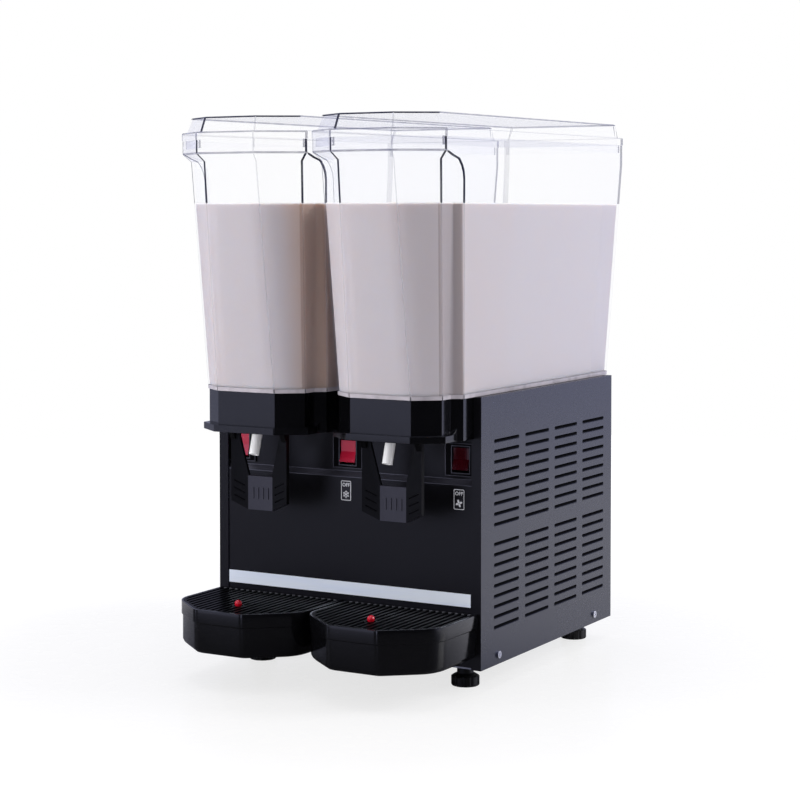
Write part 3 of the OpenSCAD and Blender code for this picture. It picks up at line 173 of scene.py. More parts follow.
class NodeBook:
    """One node tree, with one way to add a node to it."""

    def __init__(self, owner: Union[bpy.types.Material, bpy.types.World]) -> None:
        """Empty the owner's tree.

        Args:
            owner: Material or world whose nodes are drawn.
        """
        owner.use_nodes = True
        self.tree = owner.node_tree
        self.tree.nodes.clear()

    def add(self, kind: str, settings: dict | None = None, sockets: dict | None = None,
            out: Union[int, str] = 0) -> Sock:
        """Add a node.

        Args:
            kind: Blender's name of the node type.
            settings: Properties set first; "stops" fills a colour ramp.
            sockets: Values or links of the inputs, by name or number.
            out: Output that is returned.

        Returns:
            The wanted output, ready for expressions.
        """
        node = self.tree.nodes.new(kind)
        for key, value in (settings or {}).items():
            setattr(node, key, value)
        for key, value in (sockets or {}).items():
            if isinstance(value, Sock):
                self.tree.links.new(value.socket, node.inputs[key])
            else:
                node.inputs[key].default_value = value
        return Sock(self, node.outputs[out] if len(node.outputs) else None)

    def place(self) -> Sock:
        """Object coordinates, in metres."""
        return self.add("ShaderNodeTexCoord", out="Object")

    def ray(self, kind: str) -> Sock:
        """1 for rays of a kind, 0 for others."""
        return self.add("ShaderNodeLightPath", out=f"Is {kind} Ray")

    def axis(self, vector: Sock, name: str) -> Sock:
        """One component of a vector, by its letter."""
        return self.add("ShaderNodeSeparateXYZ", {}, {0: vector}, name)

    def stretched(self, vector: Sock, scale: Sequence[float]) -> Sock:
        """Coordinates scaled along each axis."""
        return self.add("ShaderNodeMapping", {}, {"Vector": vector, "Scale": scale})

    def noise(self, vector: Sock, scale: float, detail: float = 2.0) -> Sock:
        """Noise from 0 to 1."""
        return self.add("ShaderNodeTexNoise", {}, {"Vector": vector, "Scale": scale, "Detail": detail})

    def step(self, value: Sock, low: float, high: float) -> Sock:
        """Smooth rise from 0 at low to 1 at high."""
        return self.add("ShaderNodeMapRange", {"interpolation_type": "SMOOTHSTEP"},
                        {"Value": value, "From Min": low, "From Max": high})

    def blend(self, share: Value, first: Union[Sock, Rgb], second: Union[Sock, Rgb]) -> Sock:
        """Colour between two colours."""
        return self.add("ShaderNodeMix", {"data_type": "RGBA"}, {0: share, 6: first, 7: second}, 2)

    def bump(self, height: Sock, depth: float, strength: float = 1.0) -> Sock:
        """Normal of a relief whose depth is in metres."""
        return self.add("ShaderNodeBump", {}, {"Height": height, "Distance": depth, "Strength": strength})

    def surface(self, sockets: dict) -> None:
        """End the tree in a Principled shader.

        Args:
            sockets: Values or links of the shader's inputs.
        """
        shader = self.add("ShaderNodeBsdfPrincipled", {}, sockets)
        self.add("ShaderNodeOutputMaterial", {}, {"Surface": shader})


@dataclass(frozen=True)
class Finish:
    """What every finish has.

    Attributes:
        name: Name of the material.
        colour: Main linear colour.
        roughness: Mean roughness.
    """

    name: str
    colour: Rgb
    roughness: float

    def material(self) -> bpy.types.Material:
        """The finish's material, drawn when it is first asked for."""
        name = "look_" + self.name
        made = bpy.data.materials.get(name)
        if made is None:
            made = bpy.data.materials.new(name)
            self.draw(NodeBook(made))
        return made

    def draw(self, book: NodeBook) -> None:
        """Draw the finish's nodes."""
        raise NotImplementedError


@dataclass(frozen=True)
class Moulded(Finish):
    """Moulded plastic or rubber: fine grain, cloudy sheen, a little dust.

    Attributes:
        worn: Colour of rubbed and dusty places.
        grain: Grains a metre.
        depth: Depth of the grain in metres.
        gloss: Specular level.
        coat: Share of clear gloss on top.
    """

    worn: Rgb = srgb(60, 60, 66)
    grain: float = 900.0
    depth: float = 0.00003
    gloss: float = 0.5
    coat: float = 0.0

    def draw(self, book: NodeBook) -> None:
        """Draw the plastic's nodes."""
        place = book.place()
        cloud = book.noise(place, 16.0, 3.0)
        grain = book.noise(place, self.grain, 2.0)
        dust = book.step(book.noise(place, 1300.0, 1.0), 0.70, 0.82)
        rubbed = book.step(cloud, 0.52, 0.85) * 0.12 + dust * 0.10
        book.surface({
            "Base Color": book.blend(rubbed, self.colour, self.worn),
            "Roughness": (cloud - 0.5) * 0.14 + dust * 0.1 + self.roughness,
            "Normal": book.bump(grain, self.depth),
            "Specular IOR Level": self.gloss,
            "Coat Weight": self.coat,
        })


@dataclass(frozen=True)
class PowderCoat(Finish):
    """Painted sheet: orange-peel relief with fine flecks.

    Attributes:
        fleck: Colour of the flecks.
        gloss: Specular level.
    """

    fleck: Rgb = srgb(110, 112, 124)
    gloss: float = 0.5

    def draw(self, book: NodeBook) -> None:
        """Draw the paint's nodes."""
        place = book.place()
        peel = book.noise(place, 420.0, 2.0)
        cloud = book.noise(place, 9.0, 3.0)
        flecks = book.step(book.noise(place, 1900.0, 1.0), 0.62, 0.78)
        book.surface({
            "Base Color": book.blend(flecks * 0.08 + cloud * 0.06, self.colour, self.fleck),
            "Roughness": (cloud - 0.5) * 0.12 + (peel - 0.5) * 0.08 + self.roughness,
            "Normal": book.bump(peel, 0.00003),
            "Specular IOR Level": self.gloss,
        })


@dataclass(frozen=True)
class Metal(Finish):
    """Bare metal with a brushed or rolled grain.

    Attributes:
        stretch: Scale of the grain along each axis, in lines a metre.
        tarnish: Colour of the dull patches.
    """

    stretch: tuple[float, float, float] = (40.0, 900.0, 900.0)
    tarnish: Rgb = srgb(120, 120, 124)

    def draw(self, book: NodeBook) -> None:
        """Draw the metal's nodes."""
        place = book.place()
        lines = book.noise(book.stretched(place, self.stretch), 1.0, 3.0)
        patches = book.step(book.noise(place, 22.0, 4.0), 0.50, 0.80)
        book.surface({
            "Base Color": book.blend(patches * 0.5, self.colour, self.tarnish),
            "Metallic": 1.0,
            "Roughness": (lines - 0.5) * 0.20 + patches * 0.15 + self.roughness,
            "Normal": book.bump(lines, 0.00003, 0.6),
        })


@dataclass(frozen=True)
class Clear(Finish):
    """Clear moulded plastic, drawn as a thin see-through wall.

    Attributes:
        body: Share of light that a wall holds back face on.
        rim: Share that it holds back at a glancing angle.
        haze: Colour of the moulding's paler streaks.
    """

    body: float = 0.014
    rim: float = 0.13
    haze: Rgb = srgb(226, 229, 248)

    def draw(self, book: NodeBook) -> None:
        """Draw the clear wall's nodes."""
        place = book.place()
        facing = book.add("ShaderNodeLayerWeight", {}, {"Blend": 0.5}, "Facing")
        streak = book.noise(book.stretched(place, (60.0, 60.0, 6.0)), 1.0, 2.0)
        ripple = book.noise(place, 45.0, 1.0)
        book.surface({
            "Base Color": book.blend(streak, self.colour, self.haze),
            "Roughness": streak * 0.06 + self.roughness,
            "Alpha": facing ** 4.0 * self.rim + streak * self.body + self.body * 0.6,
            "Normal": book.bump(ripple, 0.0004, 0.25),
            "IOR": 1.49,
        })


@dataclass(frozen=True)
class Drink(Finish):
    """Milky drink with a thin lighter froth at its level and painted shade beside the gap between the tanks.

    Attributes:
        warm: Colour of the drink's warmer drifts.
        gap_tone: Colour of the painted shade on the left drink beside the gap between the tanks, where the
            right tank shades it.
        froth: Colour of the froth.
    """

    warm: Rgb = srgb(202, 193, 196)
    gap_tone: Rgb = srgb(186, 152, 126)
    froth: Rgb = srgb(246, 245, 250)

    def draw(self, book: NodeBook) -> None:
        """Draw the drink's nodes."""
        place = book.place()
        drift = book.noise(book.stretched(place, (9.0, 9.0, 3.0)), 1.0, 3.0)
        bubbles = book.noise(place, 500.0, 2.0)
        level = DRINK_LEVEL * MM
        froth = book.step(book.axis(place, "Z") + bubbles * 0.003, level - 0.0010, level + 0.0012)
        body = book.blend(book.step(drift, 0.35, 0.70) * 0.6, self.colour, self.warm)
        # Painted shade: the left drink turns darker and warmer beside the gap between the tanks.
        across = book.axis(place, "X")
        beside = book.step(across, -0.045, -0.015) * (1.0 - book.step(across, -0.004, 0.004))
        ahead = 1.0 - book.step(book.axis(place, "Y"), -0.16, -0.04)
        body = book.blend(beside * ahead * 0.5, body, self.gap_tone)
        book.surface({
            "Base Color": book.blend(froth * 0.85, body, self.froth),
            "Roughness": froth * 0.3 + self.roughness,
            "Normal": book.bump(bubbles * froth, 0.0004),
            "Specular IOR Level": 0.3,
            "Subsurface Weight": 1.0,
            "Subsurface Radius": (1.0, 0.85, 0.72),
            "Subsurface Scale": 0.012,
        })


@dataclass(frozen=True)
class Film(Finish):
    """Printed or foil strip with a faint lengthwise grain.

    Attributes:
        shade: Colour of the film's darker drifts.
    """

    shade: Rgb

    def draw(self, book: NodeBook) -> None:
        """Draw the film's nodes."""
        place = book.place()
        lines = book.noise(book.stretched(place, (8.0, 500.0, 700.0)), 1.0, 3.0)
        drift = book.noise(book.stretched(place, (5.0, 5.0, 60.0)), 1.0, 2.0)
        shaded = book.step(drift, 0.3, 0.75) * 0.5 + lines * 0.25
        book.surface({
            "Base Color": book.blend(shaded, self.colour, self.shade),
            "Roughness": (lines - 0.5) * 0.2 + self.roughness,
            "Normal": book.bump(lines, 0.00002, 0.5),
        })


@dataclass(frozen=True)
class Pressed(PowderCoat):
    """Painted sheet in a pressed louvre, with painted shade that darkens it towards its throat."""

    def draw(self, book: NodeBook) -> None:
        """Draw the louvre's nodes, with painted shade from its own depth attribute."""
        depth = book.add("ShaderNodeAttribute", {"attribute_name": "throat"}, {}, "Fac")
        place = book.place()
        peel = book.noise(place, 420.0, 2.0)
        book.surface({
            "Base Color": book.blend(book.step(depth, -0.02, 0.12), self.colour, srgb(2, 2, 4)),
            "Roughness": depth * 0.3 + peel * 0.1 + self.roughness,
            "Normal": book.bump(peel, 0.00006),
            "Specular IOR Level": self.gloss,
        })


GLOSS_BLACK = Moulded("gloss_black", srgb(7, 7, 9), 0.13, worn=srgb(22, 22, 28), depth=POLISHED)
SATIN_BLACK = Moulded("satin_black", srgb(11, 11, 14), 0.34, worn=srgb(40, 40, 46),
                      grain=1500.0, depth=FINE)
GRILLE_BLACK = Moulded("grille_black", srgb(11, 11, 14), 0.30, worn=srgb(24, 24, 28),
                       depth=FINE, gloss=0.02)
# Painted glint on the rear ends of the grille's slots.
GRILLE_GLINT = Moulded("grille_tip", srgb(128, 130, 140), 0.22, worn=srgb(90, 92, 100), depth=FINE)
LEVER_BLACK = Moulded("lever_black", srgb(7, 7, 9), 0.36, worn=srgb(24, 24, 28), depth=FINE, gloss=0.22)
# Painted sheen on the lever's pad and painted shade in the grooves of its wings.
LEVER_PAD_SHEEN = Moulded("lever_pad", srgb(52, 52, 63), 0.40, worn=srgb(70, 70, 82), grain=1500.0, gloss=0.4)
GROOVE_SHADE = Moulded("groove_black", srgb(2, 2, 3), 0.50, worn=srgb(8, 8, 9), gloss=0.1)
# Grey that paints highlights on the bezel rails, the ledge under the switches and the front panel's softened
# edges.
HIGHLIGHT_GREY = Moulded("rail_black", srgb(58, 58, 68), 0.22, worn=srgb(100, 100, 110), depth=FINE, gloss=0.8)
FOOT_BLACK = Moulded("foot_black", srgb(7, 7, 8), 0.34, worn=srgb(26, 26, 29), gloss=0.4)
BLACK_RUBBER = Moulded("black_rubber", srgb(22, 22, 23), 0.70, gloss=0.3, depth=0.00008)
WHITE_PLASTIC = Moulded("white_plastic", srgb(252, 252, 254), 0.22, worn=srgb(230, 231, 236), depth=FINE)
RED_PLASTIC = Moulded("red_plastic", srgb(205, 18, 40), 0.18, worn=srgb(150, 14, 30), coat=0.4)
RED_ROCKER = Moulded("red_rocker", srgb(186, 28, 58), 0.14, worn=srgb(130, 18, 40), depth=POLISHED, coat=0.5)
# Painted shade: a darker copy of the red rocker, for the right rocker.
SHADED_ROCKER = Moulded("dim_rocker", srgb(52, 4, 13), 0.14, worn=srgb(36, 3, 9), depth=POLISHED, coat=0.5)
BLACK_PAINT = PowderCoat("black_paint", srgb(11, 10, 14), 0.34, fleck=srgb(32, 31, 38), gloss=0.4)
STEEL_PAINT = PowderCoat("steel_paint", srgb(24, 27, 43), 0.28, fleck=srgb(60, 63, 82), gloss=0.62)
# Louvre paint with painted shade in its throat.
LOUVRE_PAINT_AND_SHADE = Pressed("louvre_paint", srgb(70, 73, 90), 0.40, gloss=0.02)
STRIP_FILM = Film("pale_strip", srgb(238, 245, 255), 0.30, shade=srgb(216, 228, 255))
INK_WHITE = Film("white_ink", srgb(236, 238, 244), 0.45, shade=srgb(220, 222, 230))
LABEL_BLACK = Film("label_black", srgb(16, 15, 19), 0.30, shade=srgb(24, 23, 28))
SCREW_CHROME = Metal("bright_screw", srgb(214, 215, 222), 0.18, stretch=(300.0, 300.0, 300.0))
ZINC_STEEL = Metal("zinc_steel", srgb(190, 192, 196), 0.38)
PLATE_STEEL = Metal("plate_steel", srgb(208, 208, 212), 0.24)
SPRING_STEEL = Metal("spring_steel", srgb(196, 196, 202), 0.26, stretch=(500.0, 500.0, 500.0))
FIN_ALUMINIUM = Metal("fin_aluminium", srgb(214, 216, 220), 0.32, stretch=(600.0, 40.0, 40.0))
COPPER = Metal("copper", srgb(206, 140, 106), 0.28, tarnish=srgb(120, 74, 52))
CLEAR = Clear("clear_plastic", srgb(210, 216, 252), 0.05)
# Painted refraction: dark lines on the clear plastic's edges, paler ones where the drink stands behind them.
CLEAR_EDGE = Clear("clear_edge", srgb(8, 9, 26), 0.12, body=0.95, rim=0.20, haze=srgb(26, 28, 58))
CLEAR_MID_EDGE = Clear("clear_mid_edge", srgb(36, 40, 84), 0.12, body=0.50, rim=0.15, haze=srgb(80, 84, 128))
CLEAR_FAINT_EDGE = Clear("clear_faint_edge", srgb(60, 64, 104), 0.12, body=0.20, rim=0.10,
                         haze=srgb(120, 124, 160))
CLEAR_WET_EDGE = Clear("clear_wet_edge", srgb(120, 118, 130), 0.12, body=0.24, rim=0.10,
                       haze=srgb(220, 218, 228))
# Painted refraction of the drink seen through the side of the tank's floor.
CLEAR_BASE = Clear("clear_base", srgb(176, 170, 178), 0.12, body=0.90, rim=0.20, haze=srgb(206, 200, 208))
# Painted shade on the slants near the rim that look to the front-left.
CLEAR_SLANT_SHADE = Clear("clear_tint", srgb(150, 154, 196), 0.08, body=0.16, rim=0.16, haze=srgb(196, 198, 226))
MILKY = Drink("milky_drink", srgb(201, 196, 202), 0.30)
# Painted shade for the drink in the flutes, a darker copy of the drink.
MILKY_FLUTE_SHADE = Drink("milky_flute", srgb(170, 163, 168), 0.30, warm=srgb(168, 158, 158))

# Finishes that bear the name of a material slot of the record
SLOT_FINISHES: dict[str, Finish] = {finish.name: finish for finish in (
    ZINC_STEEL, BLACK_PAINT, STEEL_PAINT, SCREW_CHROME, STRIP_FILM, SATIN_BLACK, FOOT_BLACK, CLEAR,
    GLOSS_BLACK, WHITE_PLASTIC, SPRING_STEEL, RED_PLASTIC, RED_ROCKER, PLATE_STEEL, BLACK_RUBBER,
    FIN_ALUMINIUM, COPPER)}
NODE_SLOTS: dict[str, str] = {p["node"]: p["material_slot"] for p in frame["record"]["subparts"]}


class Bench:
    """Mesh jobs that the sub-assemblies share."""

    @staticmethod
    def placed(name: str, data: bpy.types.ID) -> Object:
        """New object in the scene that shows some data."""
        made = bpy.data.objects.new(name, data)
        bpy.context.scene.collection.objects.link(made)
        return made

    @staticmethod
    def mesh(name: str, bm: BMesh) -> bpy.types.Mesh:
        """Mesh of a bmesh, which is used up."""
        made = bpy.data.meshes.new(name)
        bm.to_mesh(made)
        bm.free()
        return made

    @staticmethod
    def piece(name: str, bm: BMesh, finishes: Sequence[Finish], body: str,
              slot: str | None = None, crease: float = 40.0) -> Object:
        """Turn a bmesh into a piece that rides on a body.

        Args:
            name: Name of the piece.
            bm: Mesh of the piece, which is used up.
            finishes: Finishes in the order of the faces' material numbers.
            body: CAD body that carries the piece.
            slot: The record's material slot, if it has one; not used.
            crease: Angle in degrees above which an edge stays sharp.

        Returns:
            The piece's object.
        """
        for face in bm.faces:
            face.smooth = True
        mesh = Bench.mesh(name, bm)
        if "custom_normal" in mesh.attributes:
            mesh.attributes.remove(mesh.attributes["custom_normal"])
        mesh.set_sharp_from_angle(angle=math.radians(crease))
        for finish in finishes:
            mesh.materials.append(finish.material())
        made = Bench.placed(name, mesh)
        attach(made, body)
        LOG.info("%s: %d faces, rides on %s", name, len(mesh.polygons), body)
        return made

    @staticmethod
    def merged(node: str) -> BMesh:
        """Merged copy of a CAD node's mesh, with its flat faces joined.

        Args:
            node: Name of the CAD node.

        Returns:
            The copy.
        """
        bm = bmesh.new()
        bm.from_mesh(frame["nodes"][node].data)
        bmesh.ops.remove_doubles(bm, verts=bm.verts, dist=0.000002)
        for face in bm.faces:
            face.material_index = 0
        bmesh.ops.dissolve_limit(bm, angle_limit=math.radians(0.6), verts=bm.verts, edges=bm.edges)
        return bm

    @staticmethod
    def bevel(bm: BMesh, geom: Sequence, width: float, segments: int, affect: str = "EDGES",
              clamp: bool = False) -> list[BMFace]:
        """Bevel some edges or corners.

        Args:
            bm: Mesh to work on.
            geom: Edges, or the corners of a flat mesh.
            width: Bevel width in millimetres.
            segments: Steps across the bevel.
            affect: Whether edges or corners are cut.
            clamp: Whether bevels stop where they would meet.

        Returns:
            The faces that the bevel made.
        """
        made = bmesh.ops.bevel(bm, geom=geom, offset=width * MM, offset_type="OFFSET", segments=segments,
                               profile=0.5, affect=affect, clamp_overlap=clamp, material=-1)
        return made["faces"]

    @staticmethod
    def soften(bm: BMesh, width: float, sharp: float, segments: int = 2) -> list[BMFace]:
        """Bevel, as above, the edges that are sharper than an angle in degrees."""
        edges = [e for e in bm.edges if e.is_manifold and e.calc_face_angle(0.0) > math.radians(sharp)]
        return Bench.bevel(bm, edges, width, segments, clamp=True)

    @staticmethod
    def plate(size: tuple[float, float], soft: float) -> BMesh:
        """Flat rectangle about its own middle, on the floor plane.

        Args:
            size: Width and height in millimetres.
            soft: Radius of its corners.

        Returns:
            The rectangle, one face thick.
        """
        bm = bmesh.new()
        bmesh.ops.create_grid(bm, x_segments=1, y_segments=1, size=0.5)
        bmesh.ops.scale(bm, vec=(size[0] * MM, size[1] * MM, 1.0), verts=bm.verts)
        if soft:
            Bench.bevel(bm, bm.verts[:], soft, 4, "VERTICES")
        return bm

    @staticmethod
    def thicken(bm: BMesh, proud: float) -> None:
        """Raise a flat mesh by a thickness in millimetres."""
        grown = bmesh.ops.extrude_face_region(bm, geom=bm.faces[:])
        lifted = [g for g in grown["geom"] if isinstance(g, BMVert)]
        bmesh.ops.translate(bm, vec=(0, 0, proud * MM), verts=lifted)
        bmesh.ops.recalc_face_normals(bm, faces=bm.faces)

    @staticmethod
    def absorb(bm: BMesh, part: BMesh) -> list[BMFace]:
        """Add a mesh to another, using it up.

        Args:
            bm: Mesh that grows.
            part: Mesh that is added.

        Returns:
            The faces that came with it.
        """
        mesh = Bench.mesh("part", part)
        start = len(bm.faces)
        bm.from_mesh(mesh)
        bpy.data.meshes.remove(mesh)
        bm.faces.ensure_lookup_table()
        return bm.faces[start:]

    @staticmethod
    def slice(bm: BMesh, height: float, drop_below: bool = False, drop_above: bool = False) -> None:
        """Cut a mesh through at a height in millimetres, dropping a part if asked."""
        bmesh.ops.bisect_plane(bm, geom=bm.verts[:] + bm.edges[:] + bm.faces[:], dist=1e-6,
                               plane_co=at(0, 0, height), plane_no=(0, 0, 1),
                               clear_inner=drop_below, clear_outer=drop_above)

    @staticmethod
    def rise(edge: BMEdge) -> float:
        """How steep an edge is: 0 for a level one, 1 for an upright one."""
        return abs((edge.verts[0].co - edge.verts[1].co).normalized().z)

    @staticmethod
    def even(piece: Object) -> None:
        """Keep large faces flat beside their soft edges."""
        normals = piece.modifiers.new("even_normals", "WEIGHTED_NORMAL")
        normals.keep_sharp = True
        normals.weight = 80

    @staticmethod
    def upright(bm: BMesh, spot: Vector) -> None:
        """Stand a flat mesh up to face the front, at a spot.

        Args:
            bm: Mesh drawn flat on the floor plane.
            spot: Where its own origin goes.
        """
        stand = Matrix.Translation(spot) @ Matrix.Rotation(math.radians(90), 4, "X")
        bmesh.ops.transform(bm, matrix=stand, verts=bm.verts)


@dataclass
class SoftNode:
    """A CAD node shown with softened edges.

    Attributes:
        node: Name of the CAD node.
        width: Bevel width in millimetres.
        sharp: Least edge angle that is softened, in degrees.
        crease: Angle above which shading stays sharp, in degrees.
        segments: Steps across the bevel.
        finishes: Finishes other than the material slot's own.
        paint: Number of a face's finish, where there is more than one.
        edge: Finish of the softened edges, where it differs.
        flat: Whether large faces shade flat beside their soft edges.
    """

    node: str
    width: float
    sharp: float = 28.0
    crease: float = 50.0
    segments: int = 2
    finishes: Sequence[Finish] = ()
    paint: Callable[[BMFace], int] | None = None
    edge: Finish | None = None
    flat: bool = True

    def build(self) -> None:
        """Make the softened copy and let it stand for the node."""
        bm = Bench.merged(self.node)
        bm.normal_update()
        for face in bm.faces:
            face.material_index = self.paint(face) if self.paint else 0
        slot = NODE_SLOTS[self.node]
        looks = list(self.finishes) or [SLOT_FINISHES[slot]]
        softened = Bench.soften(bm, self.width, self.sharp, self.segments)
        if self.edge:
            for face in softened:
                face.material_index = len(looks)
            looks.append(self.edge)
        body = frame["nodes"][self.node]["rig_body"]
        made = Bench.piece("soft_" + self.node, bm, looks, body, slot, self.crease)
        if self.flat:
            Bench.even(made)
        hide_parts(self.node)


@dataclass
class Cabinet:
    """Panels, louvres, strip, screws and feet.

    Attributes:
        half_width: Half the width over the side panels, in millimetres.
        louvre_length: Length of a louvre.
        louvre_height: Height of a louvre's slot.
        louvre_depth: How far a louvre is pressed in.
        louvre_play: Gap at its ends.
        louvre_sheet: Thickness of its sheet.
        end_ease: Length over which its ends rise to the panel.
        first_column: Front end of the first louvre column behind the cabinet's front.
        column_pitch: Distance between columns.
        banks: Heights of the lowest louvre of each bank.
        row_pitch: Distance between louvres in a bank.
    """

    half_width: float = 185.0
    louvre_length: float = 67.0
    louvre_height: float = 4.5
    louvre_depth: float = 3.6
    louvre_play: float = 0.35
    louvre_sheet: float = 0.5
    end_ease: float = 7.0
    first_column: float = 33.0
    column_pitch: float = 83.5
    banks: tuple[float, float] = (72.6, 195.3)
    row_pitch: float = 12.4

    @property
    def louvre_places(self) -> list[tuple[float, float]]:
        """Front end and height of every louvre on a side."""
        columns = [self.first_column + self.column_pitch * i for i in range(4)]
        rows = [low + self.row_pitch * i for low in self.banks for i in range(9)]
        return [(column, row) for column in columns for row in rows]

    def build(self) -> None:
        """Make the cabinet's visible pieces."""
        for node, width in {
            "rear_panel": 0.4, "top_deck": 0.5, "front_strip": 0.2, "case_screws": 0.3, "cord_gland": 0.6,
            "foot_front_left": 0.7, "foot_front_right": 0.7, "foot_rear_left": 0.7, "foot_rear_right": 0.7,
        }.items():
            SoftNode(node, width).build()
        # The front panel's ledge and softened edges get painted highlights.
        SoftNode("front_panel", 0.6, finishes=(BLACK_PAINT, HIGHLIGHT_GREY), paint=self.ledge,
                 edge=HIGHLIGHT_GREY).build()
        for side in Side:
            # Front-facing returns of the side panels get darker paint as painted shade.
            SoftNode(f"{side.word}_side_panel", 0.4, finishes=(STEEL_PAINT, BLACK_PAINT),
                     paint=self.front_return).build()
            self.louvres(side)

    @staticmethod
    def ledge(face: BMFace) -> int:
        """Number 1 for the sloping ledge under the switches, which gets a painted highlight."""
        return 1 if 0.5 < face.normal.z < 0.9 else 0

    @staticmethod
    def front_return(face: BMFace) -> int:
        """Number 1 for a side panel's faces that look to the front, which get darker paint as painted shade.
        """
        return 1 if face.normal.y < -0.9 else 0

    def blade(self) -> BMesh:
        """One pressed louvre for the right side, about its own middle, in millimetres."""
        bm = bmesh.new()
        throat = bm.verts.layers.float.new("throat")
        bmesh.ops.create_grid(bm, x_segments=10, y_segments=4, size=0.5)
        half, tall = self.louvre_length / 2, self.louvre_height / 2
        for vert in bm.verts:
            u, v = 2 * vert.co.x, vert.co.y + 0.5
            y = math.copysign(abs(u) ** 0.6, u) * (half - self.louvre_play)
            end = max(0.0, abs(y) - (half - tall)) / tall
            open_z = tall * math.sqrt(max(0.0, 1 - end * end))
            ease = math.sqrt(max(0.0, 1 - (max(0.0, abs(y) - half + self.end_ease) / self.end_ease) ** 2))
            deep = 0.25 + self.louvre_depth * ease * v ** 0.8
            vert.co = (-deep, y, (2 * v - 1) * open_z * 0.97 + 0.9 * ease * max(0.0, v - 0.55))
            # The throat value grows into the louvre and drives its painted shade.
            vert[throat] = v * ease
        bmesh.ops.recalc_face_normals(bm, faces=bm.faces)
        if sum(f.normal.x for f in bm.faces) < 0:
            bmesh.ops.reverse_faces(bm, faces=bm.faces)
        return bm

    def louvres(self, side: Side) -> None:
        """Press the louvres of one side panel.

        Args:
            side: Side of the cabinet.
        """
        single = Bench.mesh("louvre_pattern", self.blade())
        bm = bmesh.new()
        for column, row in self.louvre_places:
            start = len(bm.verts)
            bm.from_mesh(single)
            bm.verts.ensure_lookup_table()
            spot = at(side.value * self.half_width, column + self.louvre_length / 2, row)
            move = Matrix.Translation(spot) @ Matrix.Diagonal((side.value * MM, MM, MM, 1.0))
            bmesh.ops.transform(bm, matrix=move, verts=bm.verts[start:])
        bpy.data.meshes.remove(single)
        if side is Side.LEFT:
            bmesh.ops.reverse_faces(bm, faces=bm.faces)
        bmesh.ops.solidify(bm, geom=bm.faces[:], thickness=-self.louvre_sheet * MM)
        Bench.piece(f"louvres_{side.word}", bm, [LOUVRE_PAINT_AND_SHADE], "cabinet", "steel_paint", 60.0)


